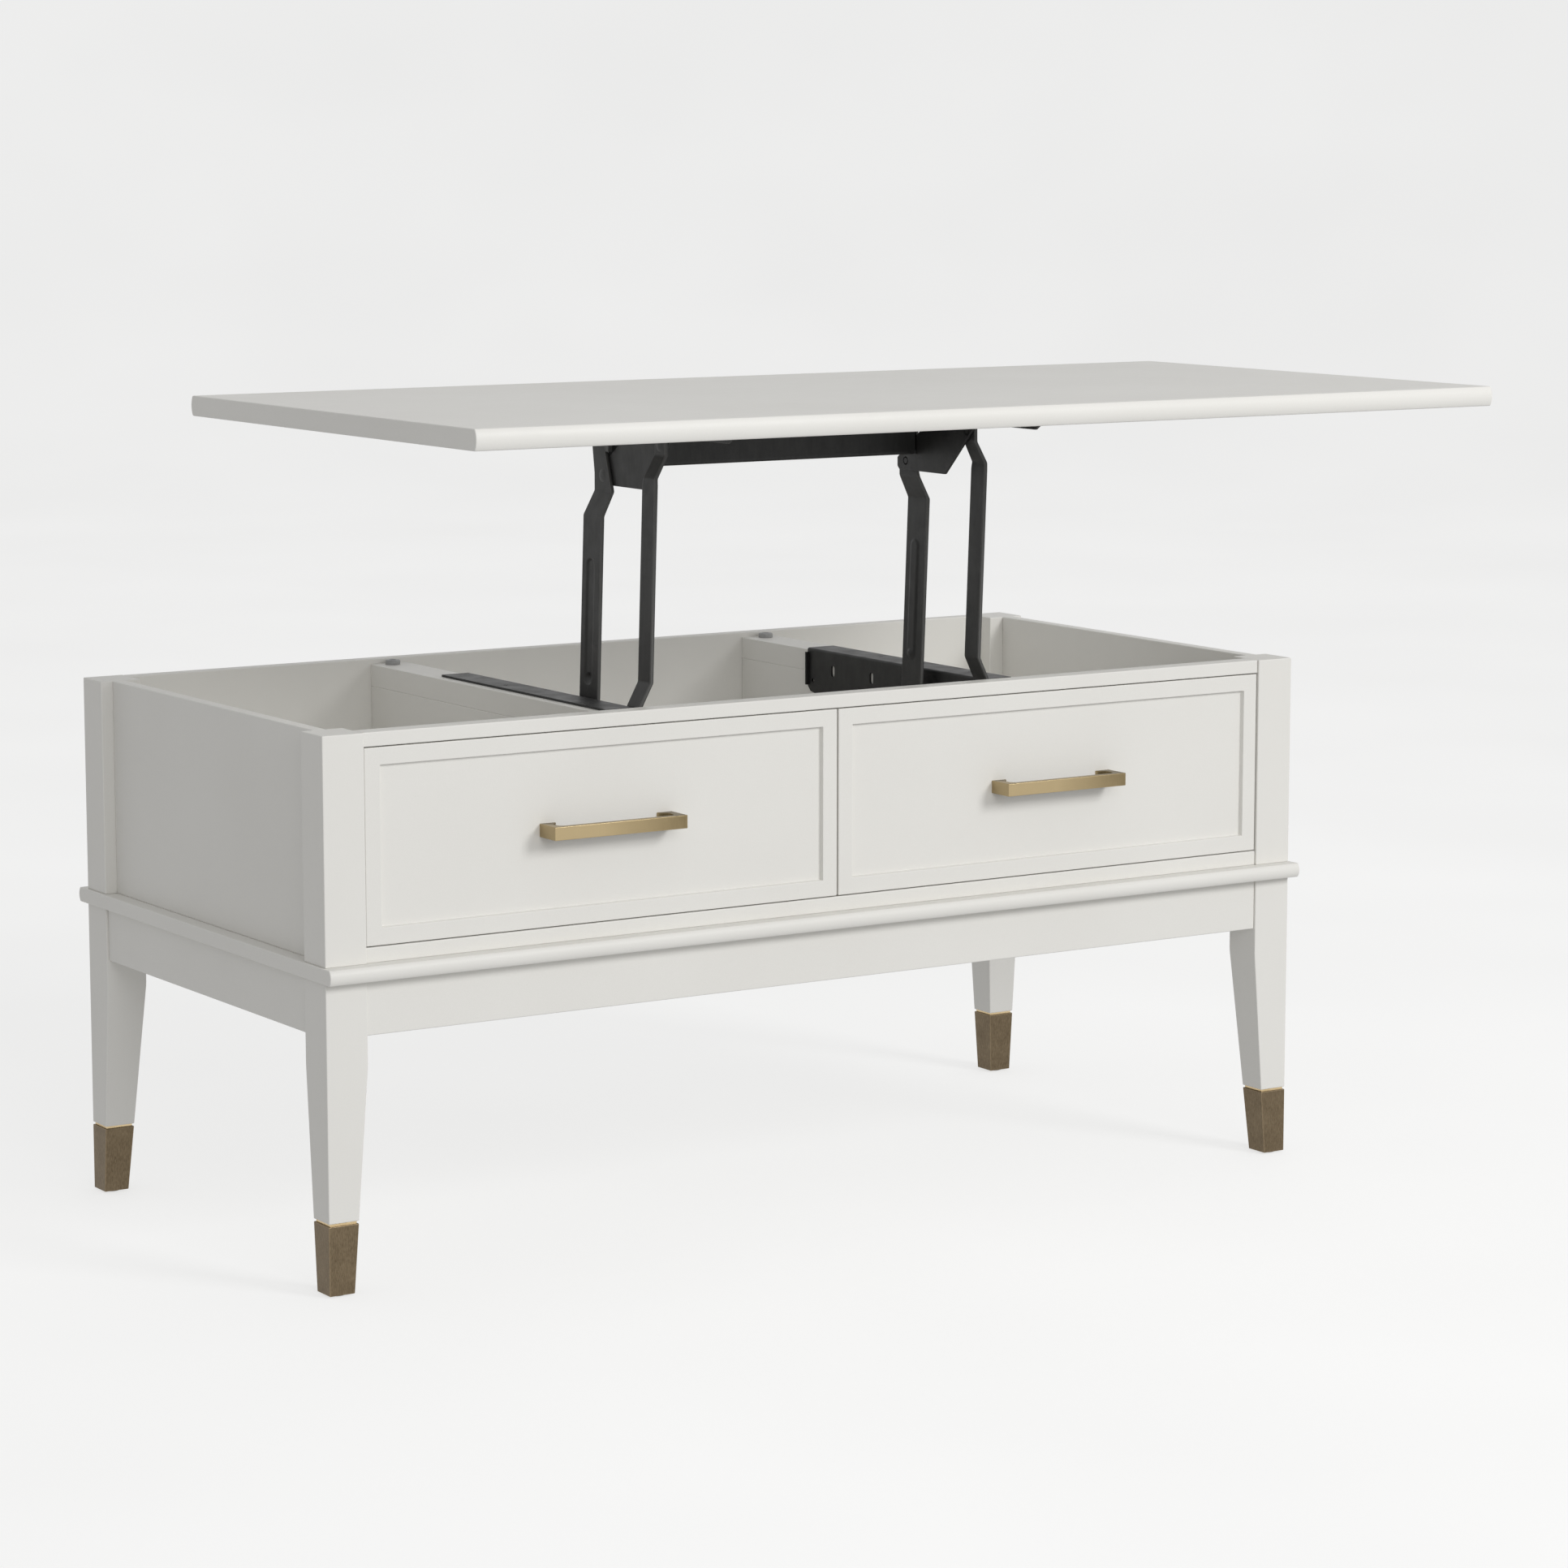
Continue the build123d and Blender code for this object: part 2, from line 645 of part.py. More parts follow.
def base_rail(side):
    """The fixed rail: a flange on the divider's top, a web down its inner face, and a spring lug."""
    web_outline = [
        (rail_rear, rail_top),
        (rail_rear, rail_top - 36.0),
        (rail_rear - 5.0, rail_top - 41.0),
        (rail_rear - 22.0, rail_top - 44.0),
        (spring_hook[0] + sheet / 2, spring_hook[1] - 7.0),
        (spring_hook[0] - 12.0, spring_hook[1] - 7.0),
        (rear_lower[0] + 30.0, rear_lower[1] - 11.0),
        (rear_lower[0] - 18.0, rear_lower[1] - 11.0),
        (front_lower[0] + 8.0, front_lower[1] - 13.0),
        (rail_front, front_lower[1] - 11.0),
        (rail_front, rail_top),
    ]
    flange_x = mirrored(side, web_inner, flange_outer)
    with BuildPart() as piece:
        with BuildSketch(side_plane(side, web_inner, divider_inner)):
            with BuildLine():
                Polyline(*web_outline, close=True)
            make_face()
        extrude(amount=sheet)
        with BuildSketch(Plane.XY.offset(divider_top)):
            with Locations(((flange_x[0] + flange_x[1]) / 2, (rail_front + rail_rear) / 2)):
                Rectangle(flange_outer - web_inner, rail_rear - rail_front)
        extrude(amount=sheet)
        bend_edges = piece.edges().filter_by(Axis.Y).group_by(Axis.Z)[-1]
        fillet(bend_edges.sort_by(Axis.X)[0 if side > 0 else -1], radius=sheet)
        with BuildSketch(Plane.XY.offset(rail_top - 35.0)):
            with Locations((side * (web_inner - rear_lip / 2), rail_rear - sheet / 2)):
                Rectangle(rear_lip, sheet)
        extrude(amount=31.0)
        with BuildSketch(Plane.XY.offset(spring_hook[1] - 7.0)):
            with Locations((side * (web_inner - lug_width / 2), spring_hook[0])):
                Rectangle(lug_width, sheet)
        extrude(amount=14.0)
        for oval_start in rail_oval_starts:
            with BuildSketch(side_plane(side, web_inner, divider_inner)):
                with Locations((front + oval_start, rail_top - 18.5)):
                    SlotOverall(11.0, 6.0, rotation=90)
            extrude(amount=sheet, mode=Mode.SUBTRACT)
        pin_hole(side, web_inner, divider_inner, (rail_rear - 9.0, rail_top - 30.5), 2.0)
        pin_hole(side, web_inner, divider_inner, rear_lower, pin_radius)
        pin_hole(side, web_inner, divider_inner, front_lower, pin_radius)
        with BuildSketch(Plane.XY.offset(divider_top)):
            for screw_y in rail_screws:
                with Locations((side * rail_screw_line, screw_y)):
                    Circle(screw_radius)
        extrude(amount=sheet, mode=Mode.SUBTRACT)
        with BuildSketch(Plane.XY.offset(rail_top - screw_head_depth)):
            for screw_y in rail_screws:
                with Locations((side * rail_screw_line, screw_y)):
                    Circle(screw_head_radius)
        extrude(amount=screw_head_depth, mode=Mode.SUBTRACT)
        with BuildSketch(Plane.XZ.offset(-(spring_hook[0] + sheet / 2))):
            with Locations((side * (web_inner - spring_offset), spring_hook[1])):
                Circle(1.8)
        extrude(amount=sheet, mode=Mode.SUBTRACT)
    return piece.part


def top_bracket(side):
    """The moving bracket: a flange under the top, a long narrow strip and a deep web for the pivots."""
    strip_bottom = open_underside - 19.0
    web_bottom = rear_upper[1] - 8.3
    strip_front = front - 76.0
    strip_rear = front + 150.0
    outline = [
        (strip_front, open_underside),
        (strip_front, strip_bottom + 3.5),
        (strip_front + 5.5, strip_bottom),
        (front + 17.5, strip_bottom),
        (front + 66.0, web_bottom),
        (front + 138.0, web_bottom),
        (front + 141.0, web_bottom + 3.0),
        (front + 141.0, web_bottom + 11.0),
        (front + 89.5, strip_bottom),
        (strip_rear, strip_bottom),
        (strip_rear, open_underside),
    ]
    flange_x = mirrored(side, bracket_inner - 24.0, bracket_outer)
    tail_slope = (tail_foot[0] - tail_head[0]) / (tail_head[1] - tail_foot[1])
    stop_low = rear_upper[1] + 21.0
    stop_high = open_underside - 8.0

    def tail_front(z):
        """Where the rear arm's tail has its front edge at a height, less a working gap."""
        return rear_upper[0] - tail_head[0] + (z - rear_upper[1] - tail_head[1]) * tail_slope - 0.25

    with BuildPart() as piece:
        with BuildSketch(side_plane(side, bracket_inner, bracket_outer)):
            with BuildLine():
                Polyline(*outline, close=True)
            make_face()
        extrude(amount=bracket_outer - bracket_inner)
        with BuildSketch(Plane.XY.offset(open_underside - sheet)):
            with Locations(((flange_x[0] + flange_x[1]) / 2, (strip_front + strip_rear) / 2)):
                Rectangle(flange_x[1] - flange_x[0], strip_rear - strip_front)
        extrude(amount=sheet)
        with BuildSketch(side_plane(side, bracket_outer, bracket_outer + stop_block_depth)):
            with BuildLine():
                Polyline(
                    (tail_front(stop_low) - 5.5, stop_low),
                    (tail_front(stop_low), stop_low),
                    (tail_front(stop_low + 6.0), stop_low + 6.0),
                    (tail_front(stop_low + 6.0), stop_high),
                    (tail_front(stop_low) - 5.5, stop_high),
                    close=True,
                )
            make_face()
        extrude(amount=stop_block_depth)
        pin_hole(side, bracket_inner, bracket_outer, rear_upper, pin_radius)
        pin_hole(side, bracket_inner, bracket_outer, front_upper, pin_radius)
        with BuildSketch(Plane.XY.offset(open_underside - sheet)):
            for screw_y in bracket_screws:
                with Locations((side * (bracket_inner - bracket_screw_inset), screw_y)):
                    Circle(screw_radius)
        extrude(amount=sheet, mode=Mode.SUBTRACT)
    return piece.part


for name, side in sides.items():
    save(rear_arm(side), f"rear_arm_{name}")
    save(front_arm(side), f"front_arm_{name}")
    save(base_rail(side), f"base_rail_{name}")
    save(top_bracket(side), f"top_bracket_{name}")

pivot_head_radius = 7.0
pivot_head = 2.0
running_gap = 0.2
with BuildPart() as lower_pivots:
    for side in sides.values():
        pin_layer(side, middle_faces[0] - running_gap, divider_inner, rear_lower, pin_radius)
        pin_layer(side, middle_faces[1] + running_gap, web_inner, rear_lower, pivot_head_radius)
        rear_head = middle_faces[0] - running_gap
        pin_layer(side, rear_head - pivot_head, rear_head, rear_lower, pivot_head_radius)
        pin_layer(side, lower_faces[0] - running_gap, divider_inner, front_lower, pin_radius)
        front_head = lower_faces[0] - running_gap
        pin_layer(side, front_head - pivot_head, front_head, front_lower, pivot_head_radius)
save(lower_pivots.part, "lower_pivots")

with BuildPart() as upper_pivots:
    for side in sides.values():
        for place in (rear_upper, front_upper):
            pin_layer(side, bracket_inner, upper_faces[1], place, pin_radius)
            pin_layer(side, upper_faces[1] - flush_head_depth, upper_faces[1], place, flush_head_radius)
            pin_hole(side, bracket_inner, bracket_inner + 2.3, place, 2.4)
save(upper_pivots.part, "upper_pivots")

with BuildPart() as rail_screw_set:
    for side in sides.values():
        for screw_y in rail_screws:
            with BuildSketch(Plane.XY.offset(divider_top)):
                with Locations((side * rail_screw_line, screw_y)):
                    Circle(screw_radius)
            extrude(amount=sheet)
            with BuildSketch(Plane.XY.offset(rail_top - screw_head_depth)):
                with Locations((side * rail_screw_line, screw_y)):
                    Circle(screw_head_radius)
            extrude(amount=screw_head_depth)
save(rail_screw_set.part, "base_rail_screws")

with BuildPart() as bracket_screw_set:
    for side in sides.values():
        for screw_y in bracket_screws:
            screw_place = (side * (bracket_inner - bracket_screw_inset), screw_y)
            with BuildSketch(Plane.XY.offset(open_underside - sheet)):
                with Locations(screw_place):
                    Circle(screw_radius)
            extrude(amount=sheet)
            with BuildSketch(Plane.XY.offset(open_underside - sheet)):
                with Locations(screw_place):
                    Circle(screw_head_radius)
            extrude(amount=-screw_head_depth)
save(bracket_screw_set.part, "bracket_screws")

# the cross bar: an angle between the brackets, with a rounded lower bend and two end tabs
bar_front = front + 110.0
bar_bottom = 661.0
bar_top = 706.0
bar_flange = 16.0
tab_depth = 18.0
with BuildPart() as cross_bar:
    with BuildSketch(Plane.YZ.offset(-bracket_inner)):
        with Locations((bar_front + sheet / 2, (bar_bottom + bar_top) / 2)):
            Rectangle(sheet, bar_top - bar_bottom)
        with Locations((bar_front + bar_flange / 2, bar_bottom + sheet / 2)):
            Rectangle(bar_flange, sheet)
    extrude(amount=2 * bracket_inner)
    lower_bend = cross_bar.edges().filter_by(Axis.X).group_by(Axis.Z)[0].sort_by(Axis.Y)[0]
    fillet(lower_bend, radius=sheet - 0.1)
    for side in sides.values():
        with BuildSketch(side_plane(side, bracket_inner - sheet, bracket_inner)):
            with Locations((bar_front + tab_depth / 2, (bar_bottom + bar_top) / 2)):
                Rectangle(tab_depth, bar_top - bar_bottom)
        extrude(amount=sheet)
save(cross_bar.part, "cross_bar")

# the lift springs: closed outer shapes of extension springs from the rail's lug to the rear arm's foot
spring_centre = web_inner - spring_offset
for name, side in sides.items():
    run_y = spring_hook[0] - spring_eye[0]
    run_z = spring_hook[1] - spring_eye[1]
    run = math.hypot(run_y, run_z)
    start = (
        side * spring_centre,
        spring_eye[0] + run_y * spring_inset / run,
        spring_eye[1] + run_z * spring_inset / run,
    )
    along = Plane(origin=start, x_dir=(1, 0, 0), z_dir=(0, run_y, run_z))
    with BuildPart() as spring:
        with BuildSketch(along):
            Circle(spring_radius)
        extrude(amount=run - 2 * spring_inset)
    save(spring.part, f"lift_spring_{name}")
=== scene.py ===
import json
import math

import bpy
import numpy as np
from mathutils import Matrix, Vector


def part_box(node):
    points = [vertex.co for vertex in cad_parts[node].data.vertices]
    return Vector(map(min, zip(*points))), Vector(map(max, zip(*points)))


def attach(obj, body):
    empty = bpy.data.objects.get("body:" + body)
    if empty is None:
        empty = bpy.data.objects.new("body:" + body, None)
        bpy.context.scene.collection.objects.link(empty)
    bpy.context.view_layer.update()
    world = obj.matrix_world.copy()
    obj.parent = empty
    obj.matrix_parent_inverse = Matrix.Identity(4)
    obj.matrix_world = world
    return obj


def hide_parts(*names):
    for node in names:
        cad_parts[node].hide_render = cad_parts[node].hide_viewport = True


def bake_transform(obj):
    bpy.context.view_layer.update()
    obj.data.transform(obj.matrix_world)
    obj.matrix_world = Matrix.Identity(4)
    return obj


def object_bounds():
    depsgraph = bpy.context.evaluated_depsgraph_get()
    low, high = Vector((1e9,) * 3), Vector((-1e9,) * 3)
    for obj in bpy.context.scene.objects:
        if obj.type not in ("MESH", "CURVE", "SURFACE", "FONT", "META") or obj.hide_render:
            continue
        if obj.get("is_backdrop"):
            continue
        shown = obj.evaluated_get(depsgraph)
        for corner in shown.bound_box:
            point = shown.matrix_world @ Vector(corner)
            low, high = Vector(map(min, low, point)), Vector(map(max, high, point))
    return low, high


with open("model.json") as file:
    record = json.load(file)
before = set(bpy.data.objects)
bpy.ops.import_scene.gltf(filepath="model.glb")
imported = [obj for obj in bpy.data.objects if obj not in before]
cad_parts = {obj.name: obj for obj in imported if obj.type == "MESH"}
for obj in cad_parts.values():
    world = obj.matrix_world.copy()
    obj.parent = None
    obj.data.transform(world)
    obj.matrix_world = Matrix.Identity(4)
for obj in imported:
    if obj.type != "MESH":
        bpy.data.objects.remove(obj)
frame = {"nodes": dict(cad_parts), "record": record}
cad_low, cad_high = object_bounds()
nodes = frame["nodes"]
SIDES = {"left": -1.0, "right": 1.0}


# ---- node tree helpers -------------------------------------------------------------------

def new_finish(name):
    """An empty material with its node tree, its shader and its object coordinates."""
    finish = bpy.data.materials.new(name)
    finish.use_nodes = True
    tree = finish.node_tree
    shader = tree.nodes["Principled BSDF"]
    coordinates = tree.nodes.new("ShaderNodeTexCoord")
    return finish, tree, shader, coordinates.outputs["Object"]


def stretched(tree, vector, scale):
    """The coordinates scaled along each axis, to draw a pattern out in one direction."""
    mapping = tree.nodes.new("ShaderNodeMapping")
    mapping.inputs["Scale"].default_value = scale
    tree.links.new(vector, mapping.inputs["Vector"])
    return mapping.outputs["Vector"]


def drawn_out(tree, vector, axis, share):
    """The coordinates squeezed along one axis to a share, which draws a pattern out in that direction."""
    scale = [1.0, 1.0, 1.0]
    scale[axis] = share
    return stretched(tree, vector, tuple(scale))


def noise(tree, vector, scale, detail=3.0, roughness=0.5, distortion=0.0):
    """Fractal noise as a factor from 0 to 1."""
    texture = tree.nodes.new("ShaderNodeTexNoise")
    texture.inputs["Scale"].default_value = scale
    texture.inputs["Detail"].default_value = detail
    texture.inputs["Roughness"].default_value = roughness
    texture.inputs["Distortion"].default_value = distortion
    tree.links.new(vector, texture.inputs["Vector"])
    return texture.outputs["Fac"]


def speckle(tree, vector, scale):
    """Small round cells, for powder coat and cast surfaces."""
    texture = tree.nodes.new("ShaderNodeTexVoronoi")
    texture.inputs["Scale"].default_value = scale
    tree.links.new(vector, texture.inputs["Vector"])
    return texture.outputs["Distance"]


def spread(tree, factor, low, high, start=0.3, stop=0.7):
    """Maps a factor between start and stop on to values between low and high."""
    ramp = tree.nodes.new("ShaderNodeMapRange")
    ramp.inputs["From Min"].default_value = start
    ramp.inputs["From Max"].default_value = stop
    ramp.inputs["To Min"].default_value = low
    ramp.inputs["To Max"].default_value = high
    tree.links.new(factor, ramp.inputs["Value"])
    return ramp.outputs["Result"]


def summed(tree, first, first_share, second, second_share):
    """Two factors added, each spread over its own share."""
    total = tree.nodes.new("ShaderNodeMath")
    total.operation = "ADD"
    tree.links.new(spread(tree, first, 0.0, first_share), total.inputs[0])
    tree.links.new(spread(tree, second, 0.0, second_share), total.inputs[1])
    return total.outputs[0]


def two_tones(tree, factor, dark, light, start=0.3, stop=0.7):
    """Blends between two colours by a factor."""
    ramp = tree.nodes.new("ShaderNodeValToRGB")
    ramp.color_ramp.elements[0].position = start
    ramp.color_ramp.elements[0].color = (*dark, 1.0)
    ramp.color_ramp.elements[1].position = stop
    ramp.color_ramp.elements[1].color = (*light, 1.0)
    tree.links.new(factor, ramp.inputs["Fac"])
    return ramp.outputs["Color"]


def raised(tree, height, depth, under=None, strength=1.0):
    """A bump of a real depth in metres, laid over another bump when one is given."""
    bump = tree.nodes.new("ShaderNodeBump")
    bump.inputs["Strength"].default_value = strength
    bump.inputs["Distance"].default_value = depth
    tree.links.new(height, bump.inputs["Height"])
    if under is not None:
        tree.links.new(under, bump.inputs["Normal"])
    return bump.outputs["Normal"]


def painted_edge_highlight(tree, colour, highlight_colour, start=0.51, stop=0.58):
    """The colour, turning to the highlight colour where the surface bends outwards sharply: a painted edge
    highlight.
    """
    shape = tree.nodes.new("ShaderNodeNewGeometry")
    factor = spread(tree, shape.outputs["Pointiness"], 0.0, 1.0, start, stop)
    mix = tree.nodes.new("ShaderNodeMix")
    mix.data_type = "RGBA"
    mix.inputs["B"].default_value = (*highlight_colour, 1.0)
    tree.links.new(factor, mix.inputs["Factor"])
    tree.links.new(colour, mix.inputs["A"])
    return mix.outputs["Result"]


# ---- finishes ----------------------------------------------------------------------------

def sprayed_paint(name, dark, light, roughness, grain_axis=0):
    """Satin lacquer on board: soft cloudy tone, faint roller texture along the board, fine spray peel, and
    a painted highlight: a slightly lighter line along the sharp edges."""
    finish, tree, shader, place = new_finish(name)
    clouds = noise(tree, place, 5.0, detail=4.0)
    strokes = noise(tree, drawn_out(tree, place, grain_axis, 0.18), 260.0, detail=4.0, roughness=0.6)
    peel = noise(tree, place, 900.0, detail=2.0)
    fleck = noise(tree, place, 1700.0, detail=2.0, roughness=0.7)
    coat = two_tones(tree, summed(tree, clouds, 0.5, fleck, 0.5), dark, light, 0.1, 0.9)
    # Painted highlight: the coat turns a little lighter along sharp edges.
    edge_highlit_coat = painted_edge_highlight(tree, coat, (min(light[0] * 1.06, 0.86), light[1] * 1.06, light[2] * 1.06))
    tree.links.new(edge_highlit_coat, shader.inputs["Base Color"])
    tree.links.new(spread(tree, strokes, roughness - 0.04, roughness + 0.05), shader.inputs["Roughness"])
    soft = raised(tree, strokes, 0.00008, strength=0.35)
    tree.links.new(raised(tree, peel, 0.00006, soft, 0.55), shader.inputs["Normal"])
    shader.inputs["Specular IOR Level"].default_value = 0.26
    shader.inputs["Coat Weight"].default_value = 0.05
    shader.inputs["Coat Roughness"].default_value = 0.3
    return finish


def powder_coat(name, dark, light, painted_highlight=True):
    """Black powder coat on pressed sheet: fine pimples, slightly uneven sheen, a dusting of wear and, when
    asked, paler edges painted on as a highlight."""
    finish, tree, shader, place = new_finish(name)
    pimples = speckle(tree, place, 1400.0)
    waves = noise(tree, place, 60.0, detail=3.0)
    scuffs = noise(tree, stretched(tree, place, (1.0, 1.0, 0.25)), 90.0, detail=6.0, roughness=0.7)
    coat = two_tones(tree, scuffs, dark, light, 0.35, 0.75)
    # Painted highlight: paler colour along the sharp edges of the sheet.
    if painted_highlight:
        coat = painted_edge_highlight(tree, coat, (0.085, 0.085, 0.082))
    tree.links.new(coat, shader.inputs["Base Color"])
    tree.links.new(spread(tree, waves, 0.40, 0.51), shader.inputs["Roughness"])
    slow = raised(tree, waves, 0.0002, strength=0.25)
    tree.links.new(raised(tree, pimples, 0.00008, slow, 0.6), shader.inputs["Normal"])
    shader.inputs["Specular IOR Level"].default_value = 0.3
    return finish


def brushed_brass(name, dark, light, edge, roughness, line_axis):
    """Champagne brass: fine brushing along one axis, a faint warm patina and a painted highlight, a brighter
    colour along the edges.
    """
    finish, tree, shader, place = new_finish(name)
    lines = noise(tree, drawn_out(tree, place, line_axis, 0.06), 1900.0, detail=4.0, roughness=0.6)
    patina = noise(tree, place, 45.0, detail=4.0)
    sheen = two_tones(tree, summed(tree, lines, 0.55, patina, 0.45), dark, light, 0.15, 0.85)
    # Painted highlight: the edge colour laid along sharp edges.
    tree.links.new(painted_edge_highlight(tree, sheen, edge), shader.inputs["Base Color"])
    tree.links.new(spread(tree, lines, roughness - 0.06, roughness + 0.1), shader.inputs["Roughness"])
    tree.links.new(raised(tree, lines, 0.00004, strength=0.6), shader.inputs["Normal"])
    shader.inputs["Metallic"].default_value = 1.0
    return finish


def darkened_brass(name, dark, light, edge):
    """Darkened brass sleeve: fine upright brushing over a granular skin, faint clouds and a painted
    highlight, a lighter colour along the edges.
    """
    finish, tree, shader, place = new_finish(name)
    brushing = noise(tree, stretched(tree, place, (1.0, 1.0, 0.22)), 1100.0, detail=4.0, roughness=0.65)
    grain = noise(tree, place, 1500.0, detail=3.0, roughness=0.7)
    clouds = noise(tree, place, 60.0, detail=4.0)
    skin = two_tones(tree, summed(tree, brushing, 0.75, clouds, 0.25), dark, light, 0.1, 0.9)
    # Painted highlight: the edge colour laid along sharp edges.
    tree.links.new(painted_edge_highlight(tree, skin, edge), shader.inputs["Base Color"])
    tree.links.new(spread(tree, grain, 0.36, 0.52), shader.inputs["Roughness"])
    slow = raised(tree, brushing, 0.0001, strength=0.5)
    tree.links.new(raised(tree, grain, 0.00006, slow, 0.5), shader.inputs["Normal"])
    shader.inputs["Metallic"].default_value = 1.0
    return finish


def plated_steel(name, dark, light, roughness, line_axis=1):
    """Drawn or plated steel with long fine lines and a cloudy plate."""
    finish, tree, shader, place = new_finish(name)
    lines = noise(tree, drawn_out(tree, place, line_axis, 0.02), 1400.0, detail=3.0)
    clouds = noise(tree, place, 120.0, detail=5.0)
    tree.links.new(two_tones(tree, clouds, dark, light), shader.inputs["Base Color"])
    tree.links.new(spread(tree, lines, roughness - 0.06, roughness + 0.1), shader.inputs["Roughness"])
    tree.links.new(raised(tree, lines, 0.00003, strength=0.5), shader.inputs["Normal"])
    shader.inputs["Metallic"].default_value = 1.0
    return finish


def moulded_rubber(name, dark, light, roughness):
    """Soft matt plastic or rubber with a fine moulded skin."""
    finish, tree, shader, place = new_finish(name)
    skin = noise(tree, place, 1500.0, detail=3.0)
    clouds = noise(tree, place, 180.0, detail=4.0)
    tree.links.new(two_tones(tree, clouds, dark, light), shader.inputs["Base Color"])
    tree.links.new(spread(tree, clouds, roughness - 0.07, roughness + 0.07), shader.inputs["Roughness"])
    tree.links.new(raised(tree, skin, 0.00005, strength=0.5), shader.inputs["Normal"])
    return finish


WHITE_DARK, WHITE_LIGHT = (0.755, 0.742, 0.705), (0.80, 0.79, 0.755)
finishes = {
    "white_paint": sprayed_paint("white_paint_long", WHITE_DARK, WHITE_LIGHT, 0.46, 0),
    "white_paint_deep": sprayed_paint("white_paint_deep", WHITE_DARK, WHITE_LIGHT, 0.46, 1),
    "white_paint_upright": sprayed_paint("white_paint_upright", WHITE_DARK, WHITE_LIGHT, 0.46, 2),
    "drawer_lining": sprayed_paint("drawer_lining", (0.74, 0.73, 0.70), (0.79, 0.78, 0.75), 0.5, 1),
    # The last colour of each brass finish is its painted edge highlight.
    "brass": brushed_brass(
        "brass_pull", (0.150, 0.112, 0.056), (0.220, 0.172, 0.092), (0.42, 0.33, 0.19), 0.38, 2
    ),
    "aged_brass": darkened_brass(
        "aged_brass", (0.115, 0.085, 0.052), (0.208, 0.160, 0.102), (0.40, 0.31, 0.20)
    ),
    "bright_brass": brushed_brass(
        "bright_brass", (0.55, 0.41, 0.22), (0.80, 0.64, 0.40), (0.86, 0.70, 0.46), 0.25, 0
    ),
    "black_steel": powder_coat("black_steel", (0.018, 0.018, 0.0175), (0.034, 0.034, 0.033)),
    # A darker copy of the black powder coat for the base rails, without the edge highlight: painted shade.
    "shaded_rail_steel": powder_coat("shaded_rail_steel", (0.010, 0.010, 0.0098), (0.021, 0.021, 0.0205), painted_highlight=False),
    "black_fastener": powder_coat("black_fastener", (0.014, 0.014, 0.014), (0.030, 0.030, 0.029)),
    "spring_steel": plated_steel("spring_steel", (0.16, 0.16, 0.16), (0.30, 0.30, 0.29), 0.35),
    "zinc_steel": plated_steel("zinc_steel", (0.50, 0.51, 0.52), (0.66, 0.67, 0.68), 0.32),
    "grey_bumper": moulded_rubber("grey_bumper", (0.27, 0.27, 0.27), (0.38, 0.38, 0.375), 0.42),
    "glide_plastic": moulded_rubber("glide_plastic", (0.10, 0.095, 0.085), (0.16, 0.155, 0.14), 0.6),
}


def paint(obj, finish):
    """Gives an object one finish."""
    obj.data.materials.clear()
    obj.data.materials.append(finishes[finish])


def grain_finish(name):
    """The paint whose roller texture runs along the board."""
    if name.startswith(("leg_", "post_")):
        return "white_paint_upright"
    deep = ("side_panel", "apron_left", "apron_right", "divider", "drawer_partition", "deck_cleats")
    if name.startswith(deep):
        return "white_paint_deep"
    return "white_paint"


slot_of = {row["node"]: row["material_slot"] for row in frame["record"]["subparts"]}
for name, node in nodes.items():
    slot = slot_of[name]
    # The base rails take the darker copy of the black powder coat: painted shade.
    if name.startswith("base_rail"):
        paint(node, "shaded_rail_steel")
    else:
        paint(node, grain_finish(name) if slot == "white_paint" else slot)


# ---- surfaces --------------------------------------------------------------------------

MM = 0.001


def surface(name, shells, body, finish, replaces=(), sharp_degrees=40.0):
    """One piece from several closed shells, each a grid of rings.

    A shell is an array (rings, points, 3). Neighbouring rings are joined by quads, the last point of a
    ring joins its first, and the first and last rings are closed by one flat face each. A shell whose
    signed volume, the sum of v0 . (v1 x v2) / 6 over its triangles, is negative is turned round. A piece
    with no body is left free.
    """
    vertices, faces, base = [], [], 0
    for rings in shells:
        count, points = rings.shape[:2]
        index = base + np.arange(count * points).reshape(count, points)
        beside = np.roll(index, -1, axis=1)
        quads = np.stack([index[:-1], beside[:-1], beside[1:], index[1:]], axis=-1).reshape(-1, 4)
        low, high = index[0][::-1], index[-1]
        flat = rings.reshape(-1, 3)
        fans = [np.stack([np.full(points - 2, f[0]), f[1:-1], f[2:]], axis=1) for f in (low, high)]
        triangles = np.concatenate([quads[:, [0, 1, 2]], quads[:, [0, 2, 3]], *fans]) - base
        a, b, c = (flat[triangles[:, k]] for k in range(3))
        if np.einsum("ij,ij->i", a, np.cross(b, c)).sum() < 0:
            quads, low, high = quads[:, ::-1], low[::-1], high[::-1]
        vertices.append(flat)
        faces += quads.tolist() + [low.tolist(), high.tolist()]
        base += count * points
    mesh = bpy.data.meshes.new(name)
    mesh.from_pydata(np.concatenate(vertices).tolist(), [], faces)
    mesh.shade_smooth()
    mesh.set_sharp_from_angle(angle=math.radians(sharp_degrees))
    piece = bpy.data.objects.new(name, mesh)
    bpy.context.scene.collection.objects.link(piece)
    mesh.materials.append(finishes[finish])
    if body is not None:
        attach(piece, body)
    if replaces:
        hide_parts(*replaces)
    return piece


def corners(node):
    """The low and high corner of a node's box."""
    return tuple(np.array(corner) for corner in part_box(node))


